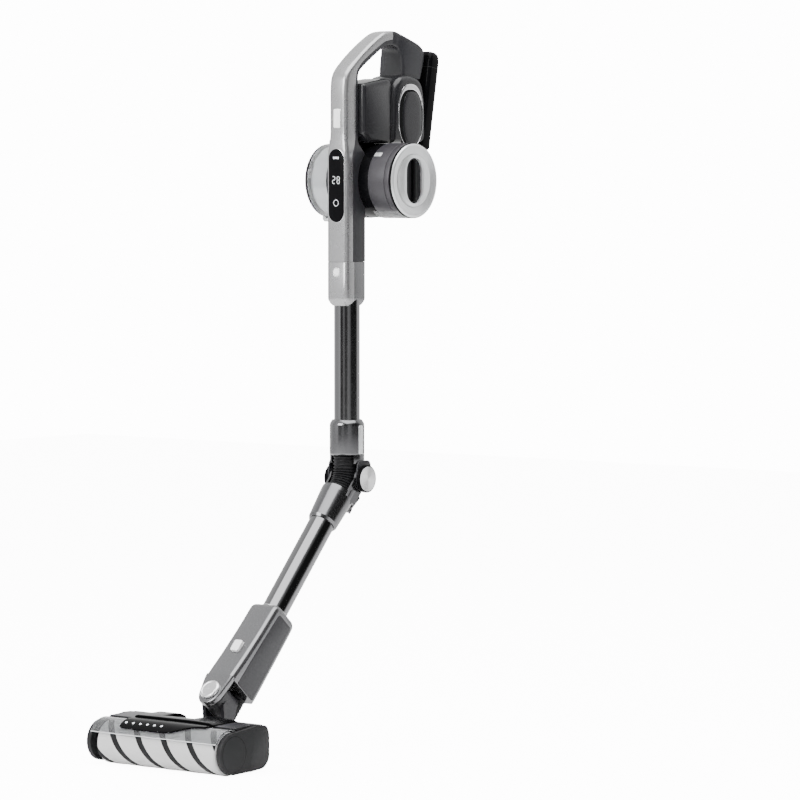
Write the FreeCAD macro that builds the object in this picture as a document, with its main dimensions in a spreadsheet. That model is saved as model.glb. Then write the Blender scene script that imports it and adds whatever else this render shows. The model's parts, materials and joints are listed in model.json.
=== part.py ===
import FreeCAD, Part
import math
import os
import re
import Sketcher

# Cordless stick vacuum, bent at its elbow and standing on its roller. Millimetres, +Z up.
# The front, with the display and the roller, faces -Y. X = 0 is the plane of symmetry of the
# wand. The origin is on the floor under the middle of the whole machine.

V = FreeCAD.Vector
doc = FreeCAD.newDocument("StickVacuum")
sheet = doc.addObject("Spreadsheet::Sheet", "Sizes")

# alias, value, what it is
SIZES = [
    # overall layout; Y of the hand unit and the head is measured from the upper tube's axis
    ("stick_y", 121.5, "upper tube axis behind the origin"),
    ("pivot_z", 380, "elbow pivot above the floor"),
    ("pivot_back", 7, "elbow pivot behind both tube axes"),
    ("bend", 42, "elbow bend in degrees as drawn"),
    ("fit", 0.3, "clearance between moving bodies"),
    ("wall", 2.2, "moulded wall"),
    # wand
    ("tube_r", 18.8, "tube outside radius"),
    ("tube_wall", 1.6, "tube wall"),
    ("collar_base", 251, "collar underside above the pivot"),
    ("collar_len", 64, "collar length with its bevel"),
    ("elbow_top", 86, "upper elbow housing top above the pivot"),
    ("elbow_r", 25.5, "upper elbow housing radius"),
    ("lower_top", 34, "lower elbow housing top below the pivot"),
    ("lower_end", 90, "lower elbow housing end below the pivot"),
    ("lower_r_top", 25, "lower elbow housing radius at the top"),
    ("lower_r_end", 22.2, "lower elbow housing radius at its end"),
    ("ear_in", 21.6, "inner face of the lower ears from the middle"),
    ("ear_t", 3, "ear thickness"),
    ("knob_r", 20, "pivot knob radius"),
    ("pin_r", 5, "stub pin radius"),
    ("tube2_end", 268, "lower tube end below the pivot"),
    ("conn_top", 252, "connector top below the pivot"),
    ("conn_end", 392, "connector barrel end below the pivot"),
    ("conn_back", 28, "connector depth behind the tube axis"),
    ("conn_front", 25, "connector depth in front of the axis at the top"),
    ("conn_flare", 38, "connector depth in front of the axis at its end"),
    ("conn_w", 50, "connector width"),
    ("swivel_at", 416, "swivel axis below the pivot"),
    # hand unit
    ("spine_w", 38, "spine width at the display"),
    ("bar_w", 31, "spine width above the power button and in the loop"),
    ("spine_front", 24, "spine front before the tube axis"),
    ("seam_y", 9, "seam between silver and dark before the axis"),
    ("spine_back", 20.5, "spine back behind the axis"),
    ("bar_front", 22, "upper bar front before the axis"),
    ("bar_seam", 2, "upper bar seam behind the axis"),
    ("bar_back", 8, "upper bar back behind the axis"),
    ("hand_base", 695, "underside of the hand unit"),
    ("shoulder_z", 862, "where the spine narrows"),
    ("hole_z", 960, "floor of the hand hole, top of the body"),
    ("body_half", 27, "half width of the body"),
    ("leg_front", 102, "front of the rear leg"),
    ("leg_back", 145, "back of the rear leg"),
    ("leg_half", 23, "half width of the rear leg"),
    # drum
    ("drum_y", 56, "drum axis behind the tube axis"),
    ("drum_z", 812, "drum axis above the floor"),
    ("drum_r", 54.5, "drum radius"),
    ("drum_half", 76, "half length of the drum without caps"),
    ("cap_t", 6, "end cap thickness"),
    ("window_h", 11, "height of the clear strip under the drum"),
    ("motor_r", 30, "motor radius"),
    ("shaft_r", 2.5, "motor shaft radius"),
    # display, buttons
    ("lens_w", 28, "display width"),
    ("lens_len", 106, "display length"),
    ("lens_z", 805, "display centre above the floor"),
    ("lens_t", 2.4, "display lens thickness"),
    ("power_z", 902, "power button centre above the floor"),
    ("power_w", 13, "power button width"),
    ("power_len", 28, "power button length"),
    ("round_r", 6, "round release button radius"),
    ("round_z", 680, "round release button above the floor"),
    ("press", 2, "release button travel"),
    # oval panels
    ("oval_y", 117.5, "panel centre behind the axis"),
    ("oval_z", 911, "panel centre above the floor"),
    ("oval_w", 42, "panel width"),
    ("oval_len", 86, "panel length"),
    ("trim_w", 2.2, "bright trim width"),
    # battery
    ("pack_y", 149, "battery foot, middle of its thickness, behind the axis"),
    ("pack_z", 858, "battery foot above the floor"),
    ("pack_len", 146, "battery length"),
    ("pack_t", 27, "battery thickness"),
    ("pack_w", 60, "battery width"),
    ("socket_r", 2.75, "charging socket bore radius"),
    ("pack_lean", 10, "battery lean in degrees"),
    ("cell_r", 9.2, "cell radius"),
    ("cell_len", 65, "cell length"),
    # neck and floor head; the head's Y is measured from its pitch axis
    ("hub_r", 20, "yoke hub radius"),
    ("swivel_r", 7, "swivel pin radius"),
    ("eye_y", 9.8, "pitch eye behind the swivel axis, across the wand"),
    ("eye_z", 31, "pitch eye beyond the swivel axis, along the wand"),
    ("eye_r", 9, "pitch eye radius"),
    ("arm_in", 14, "inner face of the yoke arms"),
    ("arm_out", 20, "outer face of the yoke arms"),
    ("pitch_z", 46, "pitch axis above the floor"),
    ("head_half", 123.5, "half width of the floor head"),
    ("end_t", 8, "end plate thickness"),
    ("roller_y", 107, "roller axis before the pitch axis"),
    ("roller_r", 30.5, "roller radius with its pile"),
    ("core_r", 22, "roller core radius"),
    ("gap", 1.2, "air gap between roller and visor"),
    ("head_back", 32, "back of the head before the pitch axis"),
    ("head_top", 66, "top of the head"),
    ("hump_l", 66, "raised cover to the left"),
    ("hump_r", 78, "raised cover to the right"),
    ("pulley_r", 8, "belt pulley radius"),
    ("belt_t", 1.6, "belt thickness"),
    ("motor_y", 52, "head motor axis before the pitch axis"),
    ("wheel_r", 10, "rear wheel radius"),
    ("wheel_x", 48, "rear wheel from the middle"),
]
for row, (alias, number, note) in enumerate(SIZES, 1):
    sheet.set("A%d" % row, note)
    sheet.set("B%d" % row, str(number))
    sheet.setAlias("B%d" % row, alias)
doc.recompute()

WORD = re.compile(r"\b([a-z][a-z0-9_]*)\b(?!\()")
pieces = []


def tied(text):
    """An expression in plain size names, as the document reads it."""
    return WORD.sub(r"Sizes.\1", str(text))


def value(text):
    """The present number of such an expression."""
    return float(doc.getObject("Sizes").evalExpression(tied(text)))


def moved(place, x, y, z):
    return place.multiply(FreeCAD.Placement(V(x, y, z), FreeCAD.Rotation()))


# The wand is laid out downwards from the elbow, then lifted until its foot meets the head.
SWING = FreeCAD.Rotation(V(1, 0, 0), -value("bend"))
reach = SWING.multVec(V(0, value("eye_y - pivot_back"), -value("swivel_at + eye_z")))
LIFT = value("pitch_z - pivot_z") - reach.z
STICK = FreeCAD.Placement(V(0, value("stick_y"), LIFT), FreeCAD.Rotation())
UPPER = moved(STICK, 0, value("pivot_back"), value("pivot_z"))
LOWER = UPPER.multiply(FreeCAD.Placement(V(0, 0, 0), SWING))
UPPER_TUBE = moved(UPPER, 0, -value("pivot_back"), 0)
LOWER_TUBE = moved(LOWER, 0, -value("pivot_back"), 0)
NECK = moved(LOWER_TUBE, 0, 0, -value("swivel_at"))
DRUM = moved(STICK, 0, value("drum_y"), value("drum_z"))
PACK = moved(STICK, 0, value("pack_y"), value("pack_z")).multiply(
    FreeCAD.Placement(V(0, 0, 0), FreeCAD.Rotation(V(1, 0, 0), -value("pack_lean"))))
HEAD = FreeCAD.Placement(V(0, UPPER.Base.y + reach.y, 0), FreeCAD.Rotation())
ROLLER = moved(HEAD, 0, -value("roller_y"), value("roller_r"))


def new_body(label, place):
    body = doc.addObject("PartDesign::Body", label)
    body.Label = label
    body.Placement = place
    pieces.append(body)
    return body


def new_sketch(body, role, away="0"):
    """A sketch on one of the body's own planes: XY (u=X, v=Y), XZ (u=X, v=Z, faces -Y)
    or YZ (u=Y, v=Z, faces +X), moved along the plane's normal by away."""
    sketch = body.newObject("Sketcher::SketchObject", body.Label + "_sketch")
    plane = [item for item in body.Origin.OriginFeatures if item.Role == role + "_Plane"][0]
    sketch.AttachmentSupport = (plane, [""])
    sketch.MapMode = "FlatFace"
    if away != "0":
        sketch.setExpression("AttachmentOffset.Base.z", tied(away))
    return sketch


def hold_point(sketch, item, end, u, v):
    for kind, text in (("DistanceX", u), ("DistanceY", v)):
        index = sketch.addConstraint(Sketcher.Constraint(kind, item, end, value(text)))
        sketch.setExpression("Constraints[%d]" % index, tied(text))


def polygon(sketch, corners):
    """Straight edges through corners, each held to the sizes it is written in."""
    spots = [V(value(u), value(v), 0) for u, v in corners]
    count = len(spots)
    items = [sketch.addGeometry(Part.LineSegment(spots[i], spots[(i + 1) % count]), False)
             for i in range(count)]
    for i in range(count):
        sketch.addConstraint(Sketcher.Constraint("Coincident", items[i], 2,
                                                 items[(i + 1) % count], 1))
        hold_point(sketch, items[i], 1, *corners[i])


def box_outline(sketch, u0, u1, v0, v1):
    polygon(sketch, [(u0, v0), (u1, v0), (u1, v1), (u0, v1)])


def circle(sketch, u, v, radius):
    item = sketch.addGeometry(Part.Circle(V(value(u), value(v), 0), V(0, 0, 1), value(radius)), False)
    hold_point(sketch, item, 3, u, v)
    index = sketch.addConstraint(Sketcher.Constraint("Radius", item, value(radius)))
    sketch.setExpression("Constraints[%d]" % index, tied(radius))


def stadium(sketch, u, v, width, length):
    """An upright oval: two half circles joined by two straight sides."""
    r = value(width) / 2
    reach = value(length) / 2 - r
    top, low = V(value(u), value(v) + reach, 0), V(value(u), value(v) - reach, 0)
    up = V(0, 0, 1)
    upper = sketch.addGeometry(Part.ArcOfCircle(Part.Circle(top, up, r), 0, math.pi), False)
    lower = sketch.addGeometry(Part.ArcOfCircle(Part.Circle(low, up, r), math.pi, 2 * math.pi), False)
    left = sketch.addGeometry(Part.LineSegment(V(top.x - r, top.y, 0), V(low.x - r, low.y, 0)), False)
    right = sketch.addGeometry(Part.LineSegment(V(low.x + r, low.y, 0), V(top.x + r, top.y, 0)), False)
    half = "(%s)/2 - (%s)/2" % (length, width)
    hold_point(sketch, upper, 3, u, "%s + %s" % (v, half))
    hold_point(sketch, lower, 3, u, "%s - (%s)" % (v, half))
    for first, end, second, start in ((upper, 2, left, 1), (left, 2, lower, 1),
                                      (lower, 2, right, 1), (right, 2, upper, 1)):
        sketch.addConstraint(Sketcher.Constraint("Tangent", first, end, second, start))
    sketch.addConstraint(Sketcher.Constraint("Equal", upper, lower))
    index = sketch.addConstraint(Sketcher.Constraint("Radius", upper, r))
    sketch.setExpression("Constraints[%d]" % index, tied("(%s)/2" % width))


def pad(body, sketch, length, middle=False, back=False):
    feature = body.newObject("PartDesign::Pad", body.Label + "_pad")
    feature.Profile = sketch
    feature.setExpression("Length", tied(length))
    feature.Midplane = middle
    feature.Reversed = back
    doc.recompute()
    return feature


def pocket(body, sketch, length, middle=False, back=False):
    """Cuts away from the sketch's normal, or along it with back."""
    before = body.Shape.Volume
    feature = body.newObject("PartDesign::Pocket", body.Label + "_pocket")
    feature.Profile = sketch
    feature.setExpression("Length", tied(length))
    feature.Midplane = middle
    feature.Reversed = back
    doc.recompute()
    if body.Shape.Volume > before - 1e-3:
        raise RuntimeError("a pocket of %s cuts nothing" % body.Label)
    return feature


def turn(body, sketch, axis, groove=False):
    """Turns the sketch about its own H_Axis or V_Axis."""
    before = body.Shape.Volume if groove else 0
    feature = body.newObject("PartDesign::Groove" if groove else "PartDesign::Revolution",
                             body.Label + "_turned")
    feature.Profile = sketch
    feature.ReferenceAxis = (sketch, [axis])
    feature.Angle = 360
    doc.recompute()
    if groove and body.Shape.Volume > before - 1e-3:
        raise RuntimeError("a groove of %s cuts nothing" % body.Label)
    return feature


def turned(label, place, role, axis, corners):
    """A body turned from one outline about the X axis (H_Axis) or the Z axis (V_Axis)."""
    body = new_body(label, place)
    sketch = new_sketch(body, role)
    polygon(sketch, corners)
    turn(body, sketch, axis)
    return body


def ring_x(label, place, x0, x1, r_in, r_out):
    """A plain ring about the X axis."""
    return turned(label, place, "XZ", "H_Axis", [(x0, r_in), (x1, r_in), (x1, r_out), (x0, r_out)])


def rounded(body, radius, pick):
    """Fillets the edges that pick(edge) chooses in the body's own frame."""
    base = body.Tip
    names = ["Edge%d" % (i + 1) for i, edge in enumerate(base.Shape.Edges) if pick(edge)]
    if not names:
        raise RuntimeError("no edge to round on " + body.Label)
    feature = body.newObject("PartDesign::Fillet", body.Label + "_round")
    feature.Base = (base, names)
    feature.setExpression("Radius", tied(radius))
    doc.recompute()
    if "Invalid" in feature.State:
        raise RuntimeError("a fillet of %s fails" % body.Label)
    return feature


def along(axis):
    """Chooses straight edges that run along an axis."""
    def pick(edge):
        if edge.Curve.TypeId != "Part::GeomLine":
            return False
        run = edge.Vertexes[-1].Point - edge.Vertexes[0].Point
        return abs(abs(run.dot(axis)) - run.Length) < 1e-6
    return pick


def block(label, place, x0, x1, y0, y1, z0, z1):
    """A body padded up from a rectangle."""
    body = new_body(label, place)
    sketch = new_sketch(body, "XY", z0)
    box_outline(sketch, x0, x1, y0, y1)
    pad(body, sketch, "(%s) - (%s)" % (z1, z0))
    return body


def cut_block(body, x0, x1, y0, y1, z0, z1):
    sketch = new_sketch(body, "XY", z0)
    box_outline(sketch, x0, x1, y0, y1)
    pocket(body, sketch, "(%s) - (%s)" % (z1, z0), back=True)


def add_block(body, x0, x1, y0, y1, z0, z1):
    sketch = new_sketch(body, "XY", z0)
    box_outline(sketch, x0, x1, y0, y1)
    pad(body, sketch, "(%s) - (%s)" % (z1, z0))


def bore(body, role, u, v, radius, start, depth):
    """Cuts a round hole along the plane's normal from start."""
    sketch = new_sketch(body, role, start)
    circle(sketch, u, v, radius)
    pocket(body, sketch, depth, back=True)


def boss(body, role, u, v, radius, start, depth):
    sketch = new_sketch(body, role, start)
    circle(sketch, u, v, radius)
    pad(body, sketch, depth)


# ---- hand unit: spine and handle loop ----------------------------------------------------

def spine_front_shell():
    """Bright front bar and the outside of the loop, in the YZ plane."""
    body = new_body("spine_front_shell", STICK)
    sketch = new_sketch(body, "YZ")
    polygon(sketch, [
        ("-spine_front", "hand_base"), ("-seam_y", "hand_base"), ("-seam_y", "shoulder_z - 8"),
        ("bar_seam", "shoulder_z + 10"), ("bar_seam", "hole_z + 7"), ("12", "hole_z + 20"),
        ("62", "hole_z + 51"), ("84", "hole_z + 57"), ("89", "hole_z + 70.5"),
        ("83", "hole_z + 70.5"), ("62", "hole_z + 64.5"), ("-1", "hole_z + 24"),
        ("-16", "hole_z + 8"), ("-bar_front", "hole_z - 10"), ("-bar_front", "shoulder_z + 10"),
        ("-spine_front", "shoulder_z - 8")])
    pad(body, sketch, "spine_w", middle=True)
    for side in ("", "-"):
        sketch = new_sketch(body, "XZ", "-100")
        polygon(sketch, [(side + "(spine_w/2 + 1)", "shoulder_z - 12"),
                         (side + "(spine_w/2)", "shoulder_z - 12"),
                         (side + "(bar_w/2)", "shoulder_z + 12"), (side + "(bar_w/2)", "hole_z + 90"),
                         (side + "(spine_w/2 + 1)", "hole_z + 90")])
        pocket(body, sketch, "200", back=True)
    rounded(body, "5", lambda e: along(V(0, 0, 1))(e) and e.BoundBox.YMax < -value("bar_front") + 1
            and e.Length > 40)
    # hollow behind the display and behind the power button
    cut_block(body, "-spine_w/2 + wall", "spine_w/2 - wall", "-spine_front + 2*wall", "-seam_y + 1",
              "hand_base - 1", "shoulder_z - 16")
    cut_block(body, "-bar_w/2 + 2*wall", "bar_w/2 - 2*wall", "-bar_front + 2*wall", "bar_seam + 1",
              "power_z - 24", "hole_z - 14")
    # seat of the display lens, through the wall behind it
    sketch = new_sketch(body, "XZ", "spine_front - lens_t + 0.6")
    stadium(sketch, "0", "lens_z", "lens_w + 0.4", "lens_len + 0.4")
    pocket(body, sketch, "10", back=True)
    sketch = new_sketch(body, "XZ", "0")
    stadium(sketch, "0", "lens_z - 5", "lens_w - 6", "lens_len - 22")
    pocket(body, sketch, "40", back=True)
    cut_block(body, "-power_w/2 - fit", "power_w/2 + fit", "-bar_front - 1", "-bar_front + 3*wall",
              "power_z - power_len/2 - fit", "power_z + power_len/2 + fit")
    return body


def spine_rear_shell():
    """Dark inside of the loop, the rear slope and the back half of the spine."""
    body = new_body("spine_rear_shell", STICK)
    sketch = new_sketch(body, "YZ")
    polygon(sketch, [
        ("-seam_y", "hand_base"), ("spine_back", "hand_base"), ("spine_back", "shoulder_z - 4"),
        ("bar_back", "shoulder_z + 4"), ("bar_back", "hole_z + 6"), ("14", "hole_z + 13"),
        ("62", "hole_z + 43"), ("96", "hole_z + 46"), ("leg_front", "hole_z + 40"),
        ("leg_front", "hole_z + 0.2"), ("leg_back", "hole_z + 0.2"), ("leg_back", "hole_z + 26"),
        ("154", "hole_z + 34"), ("156", "hole_z + 42"), ("146", "hole_z + 51"),
        ("107", "hole_z + 66"), ("92", "hole_z + 70.5"), ("89", "hole_z + 70.5"),
        ("84", "hole_z + 57"), ("62", "hole_z + 51"), ("12", "hole_z + 20"),
        ("bar_seam", "hole_z + 7"), ("bar_seam", "shoulder_z + 10"), ("-seam_y", "shoulder_z - 8")])
    pad(body, sketch, "2*leg_half", middle=True)
    for side in ("", "-"):
        sketch = new_sketch(body, "XZ", "-95")
        polygon(sketch, [(side + "(leg_half + 1)", "hand_base - 1"),
                         (side + "(spine_w/2)", "hand_base - 1"),
                         (side + "(spine_w/2)", "shoulder_z - 12"),
                         (side + "(bar_w/2)", "shoulder_z + 12"), (side + "(bar_w/2)", "hole_z + 90"),
                         (side + "(leg_half + 1)", "hole_z + 90")])
        pocket(body, sketch, "200", back=True)
    cut_block(body, "-spine_w/2 + wall", "spine_w/2 - wall", "-seam_y - 1", "spine_back - wall",
              "hand_base - 1", "shoulder_z - 16")
    # port that lets the suction duct through to the drum
    bore(body, "XZ", "0", "drum_z", "11.6", "-spine_back - 1", "8")
    return body


def body_shell(label, side):
    """One half of the gloss housing over the drum, split at X = 0."""
    body = new_body(label, STICK)
    sketch = new_sketch(body, "YZ")
    front = "spine_back + fit"
    slope = "pack_y - pack_t/2/cos(pack_lean*1deg) - 2*fit + (%s - pack_z)*tan(pack_lean*1deg)"
    low, high = "drum_z + 40", "hole_z - 8"
    polygon(sketch, [
        (front, "drum_z - 40"), ("drum_y", "drum_z - 40"), ("drum_y", "drum_z"),
        ("drum_y + drum_r - 4", "drum_z + 14"), (slope % low, low), (slope % high, high),
        (slope % high + " - 8", "hole_z"), ("bar_back + fit", "hole_z"),
        ("bar_back + fit", "shoulder_z + 5"), (front, "shoulder_z - 3")])
    pad(body, sketch, "body_half", back=side < 0)
    sketch = new_sketch(body, "YZ")
    polygon(sketch, [
        (front + " + wall", "drum_z + 30"), (slope % low + " - 2*wall", "drum_z + 30"),
        (slope % low + " - wall", low + " + wall"), (slope % high + " - wall", high + " - wall"),
        (slope % high + " - 8 - wall", "hole_z - wall"), ("bar_back + 2*wall", "hole_z - wall"),
        ("bar_back + 2*wall", "shoulder_z + 6"), (front + " + wall", "shoulder_z")])
    pocket(body, sketch, "body_half - wall", back=side > 0)
    sketch = new_sketch(body, "YZ")
    circle(sketch, "drum_y", "drum_z", "drum_r + fit")
    pocket(body, sketch, "body_half", back=side > 0)
    rounded(body, "5", lambda e: along(V(0, 1, 0))(e) and e.BoundBox.ZMin > value("hole_z") - 1
            and abs(e.BoundBox.XMax) > 20)
    return body


def side_start(side, inner, depth):
    """Where a pad towards +X begins, for a piece from inner to inner + depth on one side."""
    return "%s" % inner if side > 0 else "-(%s) - (%s)" % (inner, depth)


def vent_panels():
    """Raised oval side panels, each with its vent slot."""
    body = new_body("vent_panels", STICK)
    for side in (-1, 1):
        start = side_start(side, "body_half + 0.01", "3.4")
        sketch = new_sketch(body, "YZ", start)
        stadium(sketch, "oval_y", "oval_z", "oval_w - 2*trim_w - 0.2", "oval_len - 2*trim_w - 0.2")
        stadium(sketch, "oval_y - oval_w/2 + 9", "oval_z + 4", "5", "oval_len - 36")
        pad(body, sketch, "3.4")


def vent_trims():
    body = new_body("vent_trims", STICK)
    for side in (-1, 1):
        sketch = new_sketch(body, "YZ", side_start(side, "body_half + 0.01", "4.2"))
        stadium(sketch, "oval_y", "oval_z", "oval_w", "oval_len")
        stadium(sketch, "oval_y", "oval_z", "oval_w - 2*trim_w", "oval_len - 2*trim_w")
        pad(body, sketch, "4.2")


def display():
    lens = new_body("display_lens", STICK)
    sketch = new_sketch(lens, "XZ", "spine_front - lens_t + 0.7")
    stadium(sketch, "0", "lens_z", "lens_w", "lens_len")
    pad(lens, sketch, "lens_t")


def circuit_boards():
    """The display's board, the main board behind the hand hole and the power button's switch."""
    body = block("circuit_boards", STICK, "-lens_w/2 + 4", "lens_w/2 - 4", "-spine_front + 2*wall + 1",
                 "-spine_front + 2*wall + 2.6", "lens_z - lens_len/2 + 10",
                 "lens_z + lens_len/2 - 14")
    add_block(body, "-5", "5", "-bar_front + 4.6", "-bar_front + 10", "power_z - 5", "power_z + 5")
    add_block(body, "-10", "10", "bar_back + 2*wall + 8", "bar_back + 2*wall + 9.6",
              "shoulder_z + 16", "hole_z - 14")


def power_button():
    body = block("power_button", STICK, "-power_w/2", "power_w/2", "-bar_front - 1.6",
                 "-bar_front + 3", "power_z - power_len/2", "power_z + power_len/2")
    rounded(body, "2", along(V(0, 1, 0)))
    return body


def suction_duct():
    """Elbow pipe from the wand socket up the spine and back into the drum."""
    body = turned("suction_duct", STICK, "XZ", "V_Axis", [
        ("12.2", "round_z + 18"), ("14.2", "round_z + 18"), ("14.2", "drum_z + 16"),
        ("0", "drum_z + 16"), ("0", "drum_z + 14"), ("12.2", "drum_z + 14")])
    boss(body, "XZ", "0", "drum_z", "11.5", "-spine_back - 0.2", "spine_back")
    bore(body, "XZ", "0", "drum_z", "9.5", "-spine_back - 5", "spine_back + 6")
    return body


# ---- hand unit: drum, motor, dust cup; measured from the drum's axis -----------------------

def clear_of_spine(body):
    """The spine passes in front of the drum's middle, which is cut back to let it through."""
    cut_block(body, "-spine_w/2 - fit", "spine_w/2 + fit", "-drum_r - 1",
              "spine_back + fit - drum_y", "-drum_r - 1", "drum_r + 1")


def drum():
    shell = turned("drum_shell", DRUM, "XZ", "H_Axis", [
        ("fit", "14"), ("fit + wall", "14"), ("fit + wall", "drum_r - wall"),
        ("drum_half + cap_t - 1", "drum_r - wall"), ("drum_half + cap_t - 1", "drum_r"),
        ("fit", "drum_r")])
    cut_block(shell, "body_half + 1", "drum_half", "-drum_r", "drum_r", "-drum_r - 1",
              "-drum_r + window_h")
    clear_of_spine(shell)
    window = ring_x("drum_window", DRUM, "body_half + 1.1", "drum_half - 0.1", "drum_r - wall", "drum_r")
    cut_block(window, "body_half", "drum_half + 1", "-drum_r - 1", "drum_r + 1",
              "-drum_r + window_h - 0.1", "drum_r + 1")
    mounts = ring_x("motor_mounts", DRUM, "14", "19", "motor_r + 0.05", "drum_r - wall - 0.05")
    sketch = new_sketch(mounts, "XZ")
    box_outline(sketch, "39", "44", "motor_r + 0.05", "drum_r - wall - 0.05")
    turn(mounts, sketch, "H_Axis")
    clear_of_spine(mounts)
    ring_x("motor_stator", DRUM, "14", "46", "motor_r - 8", "motor_r")
    turned("motor_rotor", DRUM, "XZ", "H_Axis", [
        ("5", "0"), ("62", "0"), ("62", "shaft_r"), ("57", "shaft_r"), ("57", "motor_r + 4"),
        ("51", "motor_r + 4"), ("51", "shaft_r"), ("45", "shaft_r"), ("45", "motor_r - 8.5"),
        ("15", "motor_r - 8.5"), ("15", "shaft_r"), ("5", "shaft_r")])
    ring_x("exhaust_filter", DRUM, "64", "drum_half - 1", "10", "drum_r - wall - 1")
    cap = turned("filter_cap", DRUM, "XZ", "H_Axis", [
        ("drum_half + fit", "0"), ("drum_half + 3", "0"), ("drum_half + 3", "20"),
        ("drum_half + cap_t", "36"), ("drum_half + cap_t", "46"),
        ("drum_half + cap_t - 3", "drum_r - wall - fit"), ("drum_half + fit", "drum_r - wall - fit")])
    sketch = new_sketch(cap, "YZ", "drum_half")
    stadium(sketch, "0", "0", "25", "65")
    pocket(cap, sketch, "cap_t + 4", back=True)
    grip = new_body("cap_grip", DRUM)
    sketch = new_sketch(grip, "YZ", "drum_half + fit")
    stadium(sketch, "0", "0", "24.9", "64.9")
    pad(grip, sketch, "1.2")
    sketch = new_sketch(grip, "YZ", "drum_half + fit")
    stadium(sketch, "0", "0", "5", "58")
    pad(grip, sketch, "cap_t - 1")


def dust_cup():
    carrier = turned("cup_carrier", DRUM, "XZ", "H_Axis", [
        ("-body_half", "drum_r - wall"), ("-wall", "drum_r - wall"), ("-wall", "16"), ("0", "16"),
        ("0", "drum_r"), ("-body_half", "drum_r")])
    clear_of_spine(carrier)
    pre = ring_x("pre_filter", DRUM, "-body_half + 2", "-wall - 2", "22", "drum_r - wall - 3")
    clear_of_spine(pre)
    cup = ring_x("dust_cup", DRUM, "-drum_half", "-body_half - fit", "drum_r - wall", "drum_r")
    add_block(cup, "-drum_half", "-drum_half + 8", "-4", "4", "-drum_r - 6", "-drum_r + 0.6")
    bore(cup, "XZ", "-drum_half + 3", "-drum_r - 3", "1.45", "-8", "16")
    turned("cyclone", DRUM, "XZ", "H_Axis", [
        ("-drum_half + 3", "14"), ("-drum_half + 12", "14"), ("-body_half - fit - wall", "22"),
        ("-body_half - fit", "22"), ("-body_half - fit", "29"), ("-drum_half + 14", "29"),
        ("-drum_half + 14", "27"), ("-body_half - fit - wall", "27"),
        ("-body_half - fit - wall", "24"), ("-drum_half + 12", "16.5"), ("-drum_half + 3", "16.5")])
    door = turned("cup_door", DRUM, "XZ", "H_Axis", [
        ("-drum_half - cap_t", "0"), ("-drum_half - cap_t + 2", "0"),
        ("-drum_half - cap_t + 2", "drum_r - 5"), ("-drum_half - fit", "drum_r - 5"),
        ("-drum_half - fit", "drum_r - 2"), ("-drum_half - cap_t", "drum_r - 2")])
    for y0, y1 in (("-12", "-4 - fit"), ("4 + fit", "12")):
        add_block(door, "-drum_half - cap_t", "-drum_half - fit", y0, y1, "-drum_r - 5", "-drum_r + 4.4")
        add_block(door, "-drum_half - 1", "-drum_half + 3", y0, y1, "-drum_r - 6", "-drum_r - 0.5")
        boss(door, "XZ", "-drum_half + 3", "-drum_r - 3", "2.75", y0, "8 - fit")
    boss(door, "XZ", "-drum_half + 3", "-drum_r - 3", "1.4", "-12", "24")
    ring_x("door_seal", DRUM, "-drum_half - cap_t + 2.05", "-drum_half - fit - 0.4", "drum_r - 10",
           "drum_r - 5.1")
    block("cup_release", DRUM, "-drum_half + 4", "-drum_half + 22", "-8", "8", "drum_r + fit",
          "drum_r + 4.5")
    return carrier


# ---- battery, measured along its own lean ---------------------------------------------------

def battery():
    case = block("battery_case", PACK, "-pack_w/2", "pack_w/2", "-pack_t/2", "pack_t/2", "0", "pack_len")
    rounded(case, "6", lambda e: along(V(0, 0, 1))(e) or
            (along(V(1, 0, 0))(e) and e.BoundBox.ZMin > 10))
    cut_block(case, "-pack_w/2 + wall", "pack_w/2 - wall", "-pack_t/2 + wall", "pack_t/2 - wall",
              "wall", "pack_len - 3*wall")
    bore(case, "XY", "0", "0", "5.05", "-1", "wall + 2")
    cut_block(case, "-9", "9", "pack_t/2 - wall - 1", "pack_t/2 + 1", "pack_len - 36", "pack_len - 26")
    cells = new_body("battery_cells", PACK)
    for column in (-1, 0, 1):
        for row in (0, 1):
            if column or row:
                boss(cells, "XY", "%d*(2*cell_r + 0.05)" % column, "0", "cell_r",
                     "wall + 0.1 + %d*(cell_len + 0.4)" % row, "cell_len")
    socket = new_body("charge_socket", PACK)
    boss(socket, "XY", "0", "0", "5", "0", "12")
    bore(socket, "XY", "0", "0", "socket_r", "-1", "11")
    block("battery_latch", PACK, "-9 + fit", "9 - fit", "pack_t/2 - wall", "pack_t/2 + 1.2",
          "pack_len - 36 + fit", "pack_len - 26 - fit")


# ---- upper wand, measured from the elbow pivot's height on the tube's axis ------------------

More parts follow.
